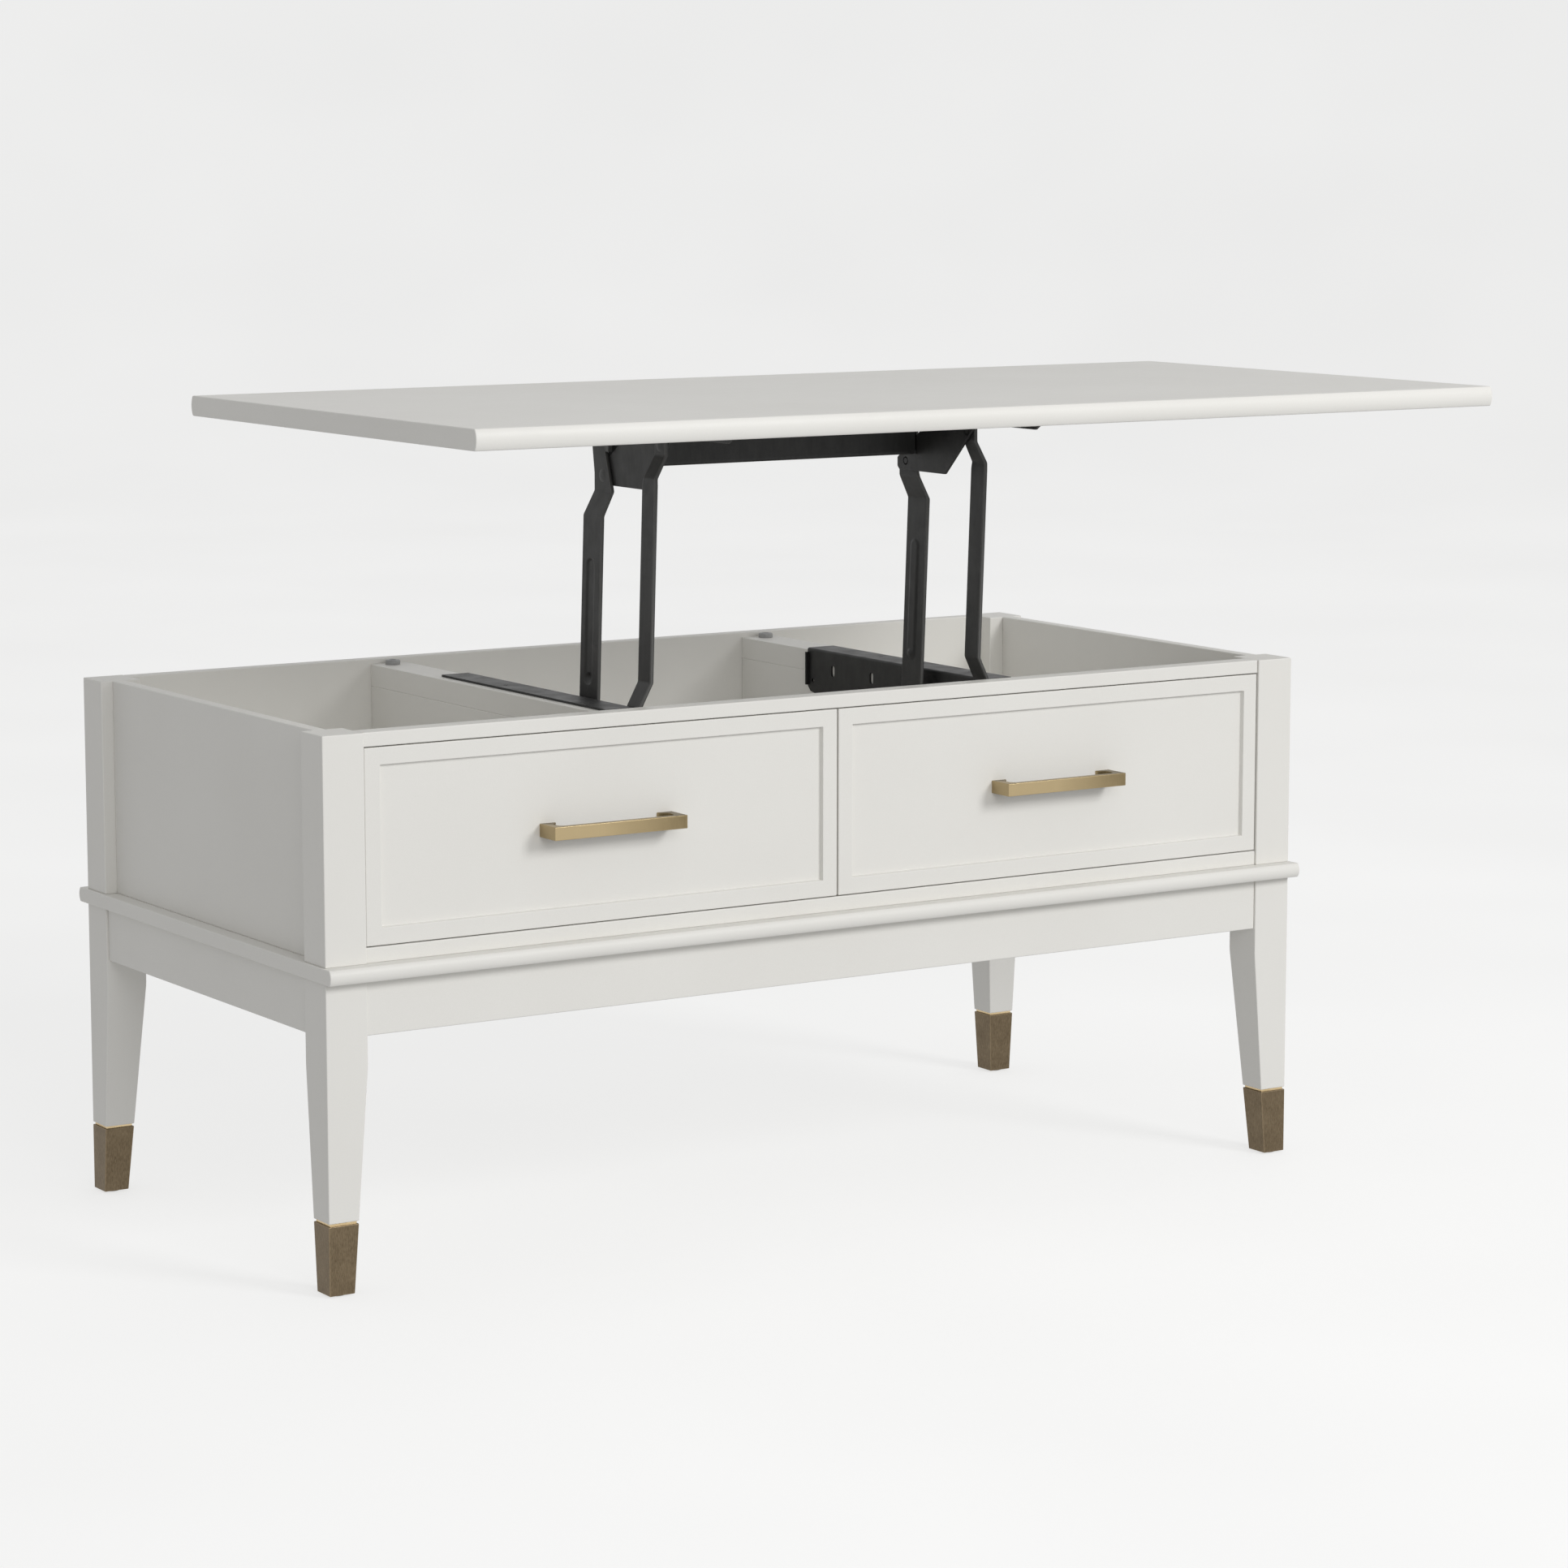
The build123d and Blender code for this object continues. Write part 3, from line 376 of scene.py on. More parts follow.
def rounding(radius, steps=4, flat=0.4 * MM):
    """Inset and depth along a quarter circle: radius (1 - sin t) and radius (1 - cos t), then a little flat.

    The first row lies on the end face, a little inside its edge, so that the face itself shades flat.
    """
    turn = np.linspace(0.0, math.pi / 2, steps + 1)
    inset = np.concatenate([[radius + flat], radius * (1.0 - np.sin(turn)), [0.0]])
    depth = np.concatenate([[0.0], radius * (1.0 - np.cos(turn)), [radius + flat]])
    return inset, depth


def round_rectangle(low, high, radius, steps=4, flat=0.4 * MM):
    """Corners of a rectangle turned on a quarter circle each, with a point just past every arc."""
    low, high = np.asarray(low, float), np.asarray(high, float)
    turn = np.linspace(0.0, math.pi / 2, steps + 1)
    arc = np.stack([np.cos(turn), np.sin(turn)], axis=1) * radius
    arc = np.concatenate([arc[:1] - [[0.0, flat]], arc, arc[-1:] - [[flat, 0.0]]])
    quarter = [arc]
    for _ in range(3):
        quarter.append(np.stack([-quarter[-1][:, 1], quarter[-1][:, 0]], axis=1))
    inner_low, inner_high = low + radius, high - radius
    centres = [
        (inner_high[0], inner_high[1]),
        (inner_low[0], inner_high[1]),
        (inner_low[0], inner_low[1]),
        (inner_high[0], inner_low[1]),
    ]
    return np.concatenate([q + np.array(c) for q, c in zip(quarter, centres)])


def along(axis, flat_points, level):
    """Flat points put at a level along an axis: x carries (y, z), y carries (x, z), z carries (x, y)."""
    return np.insert(flat_points, axis, level, axis=1)


def eased_board(name, body, finish, node, radius=0.9 * MM, axis=None):
    """A board of its node's size: a rounded rectangle carried along its longest side, its ends drawn in on
    the same quarter circle as its edges."""
    low, high = corners(node)
    return surface(name, [board_shell(low, high, radius, axis)], body, finish, [node])


def board_shell(low, high, radius, axis=None):
    """Rings of one eased board between two corners."""
    low, high = np.asarray(low, float), np.asarray(high, float)
    axis = int(np.argmax(high - low)) if axis is None else axis
    across = [k for k in range(3) if k != axis]
    inset, depth = rounding(radius)
    levels = np.concatenate([low[axis] + depth, high[axis] - depth[::-1]])
    insets = np.concatenate([inset, inset[::-1]])
    rings = []
    for level, drawn in zip(levels, insets):
        corner = max(radius - drawn, 0.05 * MM)
        rings.append(along(axis, round_rectangle(low[across] + drawn, high[across] - drawn, corner), level))
    return np.stack(rings)


def offset_outline(points, inset):
    """Each corner of a closed outline moved inwards by the inset times its two edge normals' sum over
    1 plus their dot product."""
    ahead = np.roll(points, -1, axis=0) - points
    ahead /= np.linalg.norm(ahead, axis=1, keepdims=True)
    normal = np.stack([-ahead[:, 1], ahead[:, 0]], axis=1)
    before = np.roll(normal, 1, axis=0)
    x, y = points.T
    turn = np.sign(np.sum(x * np.roll(y, -1) - np.roll(x, -1) * y))
    reach = 1.0 + np.sum(normal * before, axis=1, keepdims=True)
    return points + turn * inset * (normal + before) / np.maximum(reach, 0.3)


def softened(points, radius, steps=3):
    """Corners of a closed outline replaced by quadratic curves that start a radius before each corner and
    end a radius after it."""
    points = np.asarray(points, float)
    before = np.roll(points, 1, axis=0) - points
    after = np.roll(points, -1, axis=0) - points
    long_before = np.linalg.norm(before, axis=1, keepdims=True)
    long_after = np.linalg.norm(after, axis=1, keepdims=True)
    start = points + before / long_before * np.minimum(radius, long_before * 0.4)
    end = points + after / long_after * np.minimum(radius, long_after * 0.4)
    t = np.linspace(0.0, 1.0, steps + 1)[None, :, None]
    curve = (1 - t) ** 2 * start[:, None] + 2 * t * (1 - t) * points[:, None] + t**2 * end[:, None]
    return curve.reshape(-1, 2)


def plate_shell(axis, outline, low, high, radius=0.4 * MM):
    """A flat outline carried through a thickness along an axis, its rim on a quarter circle at both faces."""
    inset, depth = rounding(radius, steps=3, flat=0.25 * MM)
    levels = np.concatenate([low + depth, high - depth[::-1]])
    insets = np.concatenate([inset, inset[::-1]])
    return np.stack([along(axis, offset_outline(outline, i), v) for i, v in zip(insets, levels)])


def turned_shell(centre, axis, sense, radii, heights, points=40):
    """A profile turned round an axis: each ring is a circle of its radius at its height above the centre."""
    angle = np.linspace(0.0, 2 * math.pi, points, endpoint=False)
    circle = np.stack([np.cos(angle), np.sin(angle)], axis=1)
    across = [k for k in range(3) if k != axis]
    centre = np.asarray(centre, float)
    return np.stack(
        [along(axis, circle * r + centre[across], centre[axis] + sense * h) for r, h in zip(radii, heights)]
    )


def tube_shell(path, radius, reference, points=8):
    """A round wire along a path: circles in the plane of the reference and the path's own normal to it."""
    tangent = np.gradient(path, axis=0)
    tangent /= np.linalg.norm(tangent, axis=1, keepdims=True)
    side = np.cross(tangent, reference)
    side /= np.linalg.norm(side, axis=1, keepdims=True)
    up = np.cross(side, tangent)
    angle = np.linspace(0.0, 2 * math.pi, points, endpoint=False)[None, :, None]
    return path[:, None] + radius * (np.cos(angle) * side[:, None] + np.sin(angle) * up[:, None])


# ---- the table's own measures ------------------------------------------------------------

frame_low, frame_high = corners("post_front_left")
FRAME_LEFT, FRAME_FRONT = float(frame_low[0]), float(frame_low[1])
FRAME_BACK = float(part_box("post_rear_left")[1][1])
POST = float(frame_high[0] - frame_low[0])
FOOT = 23.0 * MM
TAPER_START = 191.0 * MM
FERRULE_TOP = float(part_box("leg_ferrules")[1][2])
FERRULE_FOOT = float(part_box("leg_ferrules")[0][2])
LEG_BOTTOM = FERRULE_TOP + 2.2 * MM
CORNERS = {"front_left": (-1, -1), "front_right": (1, -1), "rear_left": (-1, 1), "rear_right": (1, 1)}


def joint_place(name):
    """Where a joint's axis lies, as (y, z)."""
    for joint in frame["record"]["behaviour"]["joints"]:
        if joint["name"] == name:
            return np.array(joint["pos_m"][1:])


REAR_LOWER = joint_place("lift_fold")
FRONT_LOWER = joint_place("front_arm_left_pivot")
REAR_UPPER = joint_place("top_level")
FRONT_UPPER = REAR_UPPER + FRONT_LOWER - REAR_LOWER
ARM_MIDDLE, ARM_UPPER, ARM_LOWER = 170.0 * MM, 159.5 * MM, 180.3 * MM
ARM_HALF = 1.5 * MM


# ---- boards ------------------------------------------------------------------------------

def nose_outline(low, high):
    """Section of a nosed slab as (y, z): at both ends an arc whose rise is y = R - sqrt(R^2 - (h t)^2),
    run into the flats by a short quadratic curve."""
    rise, ease = 2.6 * MM, 1.1 * MM
    half, middle = (high[2] - low[2]) / 2, (high[2] + low[2]) / 2
    radius = (half**2 + rise**2) / (2 * rise)
    t = np.linspace(-0.9, 0.9, 15)
    arc = np.stack([radius - np.sqrt(radius**2 - (half * t) ** 2), half * t], axis=1)
    s = np.linspace(0.0, 1.0, 5)[1:, None]
    start, corner, end = arc[-1:], np.array([[rise, half]]), np.array([[rise + ease, half]])
    curve = (1 - s) ** 2 * start + 2 * s * (1 - s) * corner + s**2 * end
    beyond = np.array([[rise + 2 * ease, half]])
    upper = np.concatenate([curve, beyond])
    lower = upper[::-1] * [1, -1]
    nose = np.concatenate([lower, arc, upper])
    front = nose + [low[1], middle]
    back = nose[::-1] * [-1, 1] + [high[1], middle]
    return np.concatenate([front, back])


def nosed_slab(name, body, node):
    """The nosed section carried along the table, its two ends drawn in on a small quarter circle."""
    low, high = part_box(node)
    shell = plate_shell(0, nose_outline(low, high), low[0], high[0], 0.8 * MM)
    surface(name, [shell], body, "white_paint", [node], 50.0)


nosed_slab("top_slab", "top", "tabletop")
nosed_slab("base_slab", "root", "base_board")
for node in ("apron_front", "apron_rear", "back_panel", "top_rail", "bottom_rail"):
    eased_board(node + "_board", "root", "white_paint", node)
for part in ("apron", "side_panel", "divider"):
    for side_name in SIDES:
        node = f"{part}_{side_name}"
        eased_board(node + "_board", "root", "white_paint_deep", node)
for place in CORNERS:
    node = f"post_{place}"
    eased_board(f"{node}_stile", "root", "white_paint_upright", node, 0.8 * MM)

cap_low, cap_high = corners("divider_caps")
cap_shells = []
for name in SIDES:
    low, high = corners(f"divider_{name}")
    low[2], high[2] = cap_low[2], cap_high[2]
    low[1], high[1] = cap_low[1], cap_high[1]
    cap_shells.append(board_shell(low, high, 0.5 * MM))
surface("divider_cap_boards", cap_shells, "root", "white_paint_deep", ["divider_caps"])


# ---- legs and ferrules -------------------------------------------------------------------

def leg_width(z):
    """Width of a leg: full above the taper, falling evenly to the foot below it."""
    return float(np.interp(z, [0.0, TAPER_START], [FOOT, POST]))


def corner_ring(sides, z, inset, radius):
    """A rounded square round a leg at a height, its outer corner on the table's own corner."""
    width = leg_width(z)
    x = np.sort([sides[0] * -FRAME_LEFT, sides[0] * (-FRAME_LEFT - width)])
    y = np.sort([FRAME_FRONT, FRAME_FRONT + width] if sides[1] < 0 else [FRAME_BACK - width, FRAME_BACK])
    low, high = np.array([x[0], y[0]]) + inset, np.array([x[1], y[1]]) - inset
    return along(2, round_rectangle(low, high, radius), z)


def corner_shell(sides, low, high, radius, inset=0.0, between=()):
    """Rings up a leg, the first and last drawn in on a quarter circle of the edge radius."""
    drawn, depth = rounding(radius)
    z = np.concatenate([low + depth, between, high - depth[::-1]])
    insets = np.concatenate([drawn, np.zeros(len(between)), drawn[::-1]]) + inset
    return np.stack([corner_ring(sides, v, i, max(radius - i + inset, 0.1 * MM)) for v, i in zip(z, insets)])


leg_top = float(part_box("leg_front_left")[1][2])
kink = [TAPER_START - 4 * MM, TAPER_START - 2 * MM, TAPER_START + 2 * MM, TAPER_START + 4 * MM]
for place, sides in CORNERS.items():
    leg = corner_shell(sides, LEG_BOTTOM, leg_top, 0.8 * MM, between=kink)
    tenon = corner_shell(sides, FERRULE_FOOT + 4 * MM, LEG_BOTTOM + 2 * MM, 0.3 * MM, 2.6 * MM)
    node = f"leg_{place}"
    surface(f"{node}_taper", [leg, tenon], "root", "white_paint_upright", [node])

ferrules = [corner_shell(sides, FERRULE_FOOT, FERRULE_TOP, 0.6 * MM) for sides in CORNERS.values()]
surface("ferrule_sleeves", ferrules, "root", "aged_brass", ["leg_ferrules"])
collars = [
    corner_shell(sides, FERRULE_TOP - 1 * MM, LEG_BOTTOM + 0.6 * MM, 0.3 * MM, 1.5 * MM)
    for sides in CORNERS.values()
]
surface("ferrule_collars", collars, "root", "bright_brass")

glide_shells = []
for x_side, y_side in CORNERS.values():
    y = FRAME_FRONT + FOOT / 2 if y_side < 0 else FRAME_BACK - FOOT / 2
    centre = (x_side * (-FRAME_LEFT - FOOT / 2), y, 0.0)
    radii = np.array([6.6, 7.2, 7.7, 8.0, 8.0, 7.6]) * MM
    heights = np.array([0.0, 0.05, 0.25, 0.6, 1.3, 1.5]) * MM
    glide_shells.append(turned_shell(centre, 2, 1.0, radii, heights))
surface("foot_pads", glide_shells, "root", "glide_plastic", ["foot_glides"])


# ---- drawer fronts and pulls -------------------------------------------------------------

RECESS_INSET = np.array([13.5, 14.1, 14.4, 14.5, 15.05, 15.15, 15.4, 16.2]) * MM
RECESS_DEPTH = np.array([0.0, 0.0, 0.08, 0.3, 3.75, 3.92, 4.0, 4.0]) * MM


def drawer_face(name, node, body):
    """A drawer front: rounded rectangles from the back face, round the rim, over the border, down the
    steep wall of the recess and on to its floor."""
    low, high = corners(node)
    inset, depth = rounding(0.8 * MM)
    insets = np.concatenate([inset, inset[::-1], RECESS_INSET])
    levels = np.concatenate([high[1] - depth, low[1] + depth[::-1], low[1] + RECESS_DEPTH])
    rings = []
    for drawn, level in zip(insets, levels):
        corner = max(0.8 * MM - drawn, 0.1 * MM)
        flat = round_rectangle(low[[0, 2]] + drawn, high[[0, 2]] - drawn, corner, flat=0.3 * MM)
        rings.append(along(1, flat, level))
    surface(name, [np.stack(rings)], body, "white_paint", [node], 30.0)


def hermite(start, end, leave, arrive, count):
    """A cubic from start to end that leaves and arrives along the two given slopes."""
    t = np.linspace(0.0, 1.0, count)[:, None]
    return (
        (2 * t**3 - 3 * t**2 + 1) * start
        + (t**3 - 2 * t**2 + t) * leave
        + (3 * t**2 - 2 * t**3) * end
        + (t**3 - t**2) * arrive
    )


def bar_pull(name, node, body):
    """A bar pull: an outline whose legs widen in a round sweep to the feet, carried through its height."""
    low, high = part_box(node)
    centre, half = (low[0] + high[0]) / 2, (high[0] - low[0]) / 2
    front, back = low[1], high[1]
    foot, waist = np.array([half - 15 * MM, back]), np.array([half - 8 * MM, back - 9 * MM])
    sweep_end = np.array([half - 12 * MM, front + 6 * MM])
    slope = np.array([2.0, -12.0]) * MM
    inner = np.concatenate(
        [
            hermite(foot, waist, np.array([0.0, -12.0]) * MM, slope, 8)[:-1],
            hermite(waist, sweep_end, slope, np.array([-12.0, 0.0]) * MM, 10),
        ]
    )
    rim = np.array([[half, front], [half, back]])
    corner = rim[0] + np.array([[-0.9, 0.0], [-0.25, 0.08], [-0.08, 0.25], [0.0, 0.9]]) * MM
    right = np.concatenate([corner, rim[1:], inner])
    left = right[::-1] * [-1, 1]
    outline = np.concatenate([right, left]) + [centre, 0.0]
    shell = plate_shell(2, outline, low[2], high[2], 0.45 * MM)
    surface(name, [shell], body, "brass", [node], 35.0)


for name in SIDES:
    drawer_face(f"drawer_face_{name}", f"drawer_front_{name}", f"drawer_{name}")
    bar_pull(f"bar_pull_{name}", f"drawer_pull_{name}", f"drawer_{name}")


# ---- lift mechanism ----------------------------------------------------------------------

def bend_line(z, levels, places):
    """Distance from the middle along an arm: straight runs between bends, averaged over 2 mm, which
    rounds each bend."""
    window = np.linspace(-1.0, 1.0, 11)[:, None] * MM
    return np.interp(z[None, :] + window, levels, places).mean(axis=0)


def stadium(y, z, centre, length, width):
    """Distance past a leaning stadium's middle line, for a groove with round ends."""
    lean = math.atan2(REAR_LOWER[0] - REAR_UPPER[0], REAR_UPPER[1] - REAR_LOWER[1])
    dy, dz = y - centre[0], z - centre[1]
    lengthwise = dz * math.cos(lean) - dy * math.sin(lean)
    across = dz * math.sin(lean) + dy * math.cos(lean)
    return np.hypot(np.maximum(np.abs(lengthwise) - (length - width) / 2, 0.0), across)


def smooth_step(value, start, end):
    """0 before start, 1 after end, and 3 t^2 - 2 t^3 between them."""
    t = np.clip((value - start) / (end - start), 0.0, 1.0)
    return t * t * (3 - 2 * t)


def arm_shell(side, front_edge, rear_edge, bends, rib=None, columns=26):
    """A flat bar as rounded sections stacked up its length.

    front_edge and rear_edge are (y, z) lines; y of each is read off at every height. A section runs over
    the outer face, round the edge and back over the inner face; bends shift it sideways. A rib sinks both
    faces by its depth times 1 less a smooth step of the distance from its middle line, and a dimple sinks
    them the same way round its lower end.
    """
    radius = 0.45 * MM
    bottom, top = front_edge[0][1], front_edge[-1][1]
    drawn, depth = rounding(radius, steps=3, flat=0.2 * MM)
    between = np.arange(bottom + 1.5 * MM, top - 1.5 * MM, 0.8 * MM)
    z = np.concatenate([bottom + depth, between, top - depth[::-1]])
    thin = np.concatenate([drawn, np.zeros(len(z) - 2 * len(drawn)), drawn[::-1]])
    y_front = np.interp(z, *np.array(front_edge)[:, ::-1].T)
    y_rear = np.interp(z, *np.array(rear_edge)[:, ::-1].T)
    middle = bend_line(z, *np.array(bends).T)
    turn = np.linspace(0.0, math.pi / 2, 4)
    share = np.linspace(0.0, 1.0, columns)[None, :]
    start, end = (y_front + radius)[:, None], (y_rear - radius)[:, None]
    face_y = start + (end - start) * share
    half = (ARM_HALF - thin)[:, None]
    edge = np.minimum(radius, half * 0.9)
    rear_y = end + radius * np.sin(turn)[None, 1:]
    rear_x = half - edge * (1.0 - np.cos(turn))[None, 1:]
    front_y = start - radius * np.sin(turn)[None, 1:]
    y = np.concatenate([face_y, rear_y, rear_y[:, ::-1], face_y[:, ::-1], front_y, front_y[:, ::-1]], axis=1)
    flat = np.repeat(half, columns, axis=1)
    x = np.concatenate([flat, rear_x, -rear_x[:, ::-1], -flat, -rear_x, rear_x[:, ::-1]], axis=1)
    heights = np.repeat(z[:, None], y.shape[1], axis=1)
    if rib is not None:
        centre, length, width = rib
        past = stadium(y, heights, centre, length, width)
        wall = smooth_step(past, width / 2 - RIB_WALL_START, width / 2 - RIB_WALL_END)
        pressed = RIB_DEPTH * (1.0 - wall)
        lower_end = REAR_LOWER - REAR_UPPER
        lower_end = np.array(centre) + lower_end / np.linalg.norm(lower_end) * (length - width) / 2
        past_dimple = np.hypot(y - lower_end[0], heights - lower_end[1])
        pressed += DIMPLE_DEPTH * (1.0 - smooth_step(past_dimple, DIMPLE_FLOOR, DIMPLE_RIM))
        x = x - pressed
    x = side * (x + middle[:, None])
    return np.stack([x, y, heights], axis=-1)


RIB_DEPTH, RIB_WALL_START, RIB_WALL_END = 1.2 * MM, 2.4 * MM, 0.4 * MM
DIMPLE_DEPTH, DIMPLE_FLOOR, DIMPLE_RIM = 1.3 * MM, 1.6 * MM, 4.4 * MM


def around(place, offsets):
    """Points given in millimetres from a pivot, as (y, z)."""
    return [(place[0] + y * MM, place[1] + z * MM) for y, z in offsets]


RIB_CENTRE_Z = 527.5 * MM
rib_share = (REAR_UPPER[1] - RIB_CENTRE_Z) / (REAR_UPPER[1] - REAR_LOWER[1])
RIB_CENTRE = (REAR_UPPER[0] + (REAR_LOWER[0] - REAR_UPPER[0]) * rib_share - 0.6 * MM, RIB_CENTRE_Z)


def rear_arm(name, side):
    """The wide arm: cut corners at its foot, a step inwards near its head, a leaning tail and a rib."""
    front_edge = around(REAR_LOWER, [(-7, -23), (-11, -21.8), (-16, -15), (-17, -12)])
    front_edge += around(REAR_UPPER, [(-15.8, -34.1), (-15.2, -13.5), (-3.6, 24.5), (-1.5, 27.4), (-0.5, 28)])
    rear_edge = around(REAR_LOWER, [(5, -23), (9, -21.6), (13.2, -15), (14, -12)])
    rear_edge += around(REAR_UPPER, [(15.3, -34.1), (13.9, -13.5), (13.9, 2)])
    rear_edge += around(REAR_UPPER, [(17.2, 24.5), (15.5, 27.2), (14, 28)])
    bends = [
        (REAR_LOWER[1] - 40 * MM, ARM_MIDDLE),
        (REAR_UPPER[1] - 34.1 * MM, ARM_MIDDLE),
        (REAR_UPPER[1] - 13.5 * MM, ARM_UPPER),
        (REAR_UPPER[1] + 60 * MM, ARM_UPPER),
    ]
    shell = arm_shell(side, front_edge, rear_edge, bends, (RIB_CENTRE, 112 * MM, 14 * MM))
    node = f"rear_arm_{name}"
    surface(f"{node}_bar", [shell], node, "black_steel", [node], 35.0)


def front_arm(name, side):
    """The narrow arm: stepped outwards at its foot and inwards at its head."""
    front_edge = around(FRONT_LOWER, [(-5, -10.5), (-11.5, -4), (-13.2, 18)])
    front_edge += around(FRONT_UPPER, [(-9.4, -34), (-8.8, -8), (-8.6, 4), (-4, 9)])
    rear_edge = around(FRONT_LOWER, [(3, -10.5), (8.5, -4), (8.2, 14)])
    rear_edge += around(FRONT_UPPER, [(11.8, -34), (10.4, -28), (8.6, -8), (8.2, 4), (4, 9)])
    bends = [
        (FRONT_LOWER[1] - 30 * MM, ARM_LOWER),
        (FRONT_LOWER[1] + 16 * MM, ARM_LOWER),
        (FRONT_LOWER[1] + 36 * MM, ARM_MIDDLE),
        (FRONT_UPPER[1] - 28 * MM, ARM_MIDDLE),
        (FRONT_UPPER[1] - 9 * MM, ARM_UPPER),
        (FRONT_UPPER[1] + 60 * MM, ARM_UPPER),
    ]
    shell = arm_shell(side, front_edge, rear_edge, bends, columns=12)
    node = f"front_arm_{name}"
    surface(f"{node}_bar", [shell], node, "black_steel", [node], 35.0)


for name, side in SIDES.items():
    rear_arm(name, side)
    front_arm(name, side)


def mirrored(side, low, high):
    """Limits in x of a layer between two distances from the middle, on one side."""
    return (low, high) if side > 0 else (-high, -low)


def top_bracket(name, side):
    """The moving bracket: a web plate with its outline cut as a shallow V, a flange and a stop block."""
    node = f"top_bracket_{name}"
    low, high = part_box(node)
    top = high[2]
    strip = top - 19 * MM
    web = REAR_UPPER[1] - 8.3 * MM
    front = FRAME_FRONT
    outline = np.array(
        [
            (low[1], top),
            (low[1], strip + 3.5 * MM),
            (low[1] + 5.5 * MM, strip),
            (front + 17.5 * MM, strip),
            (front + 66 * MM, web),
            (front + 138 * MM, web),
            (front + 141 * MM, web + 3 * MM),
            (front + 141 * MM, web + 11 * MM),
            (front + 89.5 * MM, strip),
            (high[1], strip),
            (high[1], top),
        ]
    )
    web_x = mirrored(side, 155.3 * MM, 157.8 * MM)
    flange_x = mirrored(side, 131.3 * MM, 157.8 * MM)
    block_x = mirrored(side, 157.6 * MM, 161.8 * MM)
    block_low = (REAR_UPPER[0] - 11.2 * MM, REAR_UPPER[1] + 21 * MM)
    block = np.array([(0, 0), (5.5, 0), (7.3, 6), (7.3, 29), (0, 29)]) * MM + block_low
    shells = [
        plate_shell(0, softened(outline, 0.8 * MM), *web_x, 0.45 * MM),
        board_shell((flange_x[0], low[1], top - 2 * MM), (flange_x[1], high[1], top), 0.4 * MM),
        plate_shell(0, softened(block, 0.6 * MM), *block_x, 0.4 * MM),
    ]
    surface(f"{node}_plate", shells, "top", "black_steel", [node], 35.0)


for name, side in SIDES.items():
    top_bracket(name, side)

bar_low, bar_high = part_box("cross_bar")
angle_section = np.array(
    [
        (bar_low[1], bar_high[2]),
        (bar_low[1], bar_low[2] + 2.6 * MM),
        (bar_low[1] + 0.75 * MM, bar_low[2] + 0.75 * MM),
        (bar_low[1] + 2.6 * MM, bar_low[2]),
        (bar_low[1] + 16 * MM, bar_low[2]),
        (bar_low[1] + 16 * MM, bar_low[2] + 2 * MM),
        (bar_low[1] + 2 * MM, bar_low[2] + 2 * MM),
        (bar_low[1] + 2 * MM, bar_high[2]),
    ]
)
bar_shells = [plate_shell(0, softened(angle_section, 0.9 * MM, 4), bar_low[0], bar_high[0], 0.3 * MM)]
for side in SIDES.values():
    tab_x = mirrored(side, 153.3 * MM, 155.3 * MM)
    tab_low, tab_high = (tab_x[0], bar_low[1], bar_low[2]), (tab_x[1], bar_high[1], bar_high[2])
    bar_shells.append(board_shell(tab_low, tab_high, 0.4 * MM))
surface("cross_bar_angle", bar_shells, "top", "black_steel", ["cross_bar"], 40.0)


# ---- pins, screws, bumpers and springs ---------------------------------------------------

def pin_shell(side, start, end, place, profile):
    """A turned pin from one distance from the middle to another; profile gives (radius, share of length)."""
    radii, shares = np.array(profile).T
    centre = (side * start, place[0], place[1])
    return turned_shell(centre, 0, side, radii * MM, shares * (end - start))


PLAIN_PIN = [(3.2, 0.0), (3.9, 0.05), (4.0, 0.12), (4.0, 0.88), (3.9, 0.95), (3.2, 1.0)]
DOME_HEAD = [(1.0, 0.0), (3.2, 0.02), (5.0, 0.12), (6.3, 0.38), (6.9, 0.72), (7.0, 0.95), (6.4, 1.0)]
HOLLOW_PIN = [(1.0, 0.55), (2.3, 0.5), (2.4, 0.06), (2.7, 0.0)]
HOLLOW_PIN += [(3.7, 0.0), (4.0, 0.06), (4.0, 0.9), (3.4, 1.0)]
SPACER = [(6.4, 0.0), (7.0, 0.06), (7.0, 0.94), (6.4, 1.0)]
FLUSH_HEAD = [(5.2, 0.0), (6.0, 0.15), (6.0, 0.8), (5.5, 1.0), (2.0, 1.12), (0.6, 1.14)]

lower_pins, upper_pins = [], []
for side in SIDES.values():
    lower_pins += [
        pin_shell(side, 168.3 * MM, 183.8 * MM, REAR_LOWER, PLAIN_PIN),
        pin_shell(side, 166.3 * MM, 168.3 * MM, REAR_LOWER, DOME_HEAD),
        pin_shell(side, 171.7 * MM, 182.0 * MM, REAR_LOWER, SPACER),
        pin_shell(side, 178.6 * MM, 183.8 * MM, FRONT_LOWER, PLAIN_PIN),
        pin_shell(side, 176.6 * MM, 178.6 * MM, FRONT_LOWER, DOME_HEAD),
    ]
    for place in (REAR_UPPER, FRONT_UPPER):
        upper_pins.append(pin_shell(side, 155.3 * MM, 160.6 * MM, place, HOLLOW_PIN))
        upper_pins.append(pin_shell(side, 159.8 * MM, 161.1 * MM, place, FLUSH_HEAD))
surface("lower_pivot_pins", lower_pins, "root", "black_fastener", ["lower_pivots"])
surface("upper_pivot_pins", upper_pins, "top", "black_fastener", ["upper_pivots"])


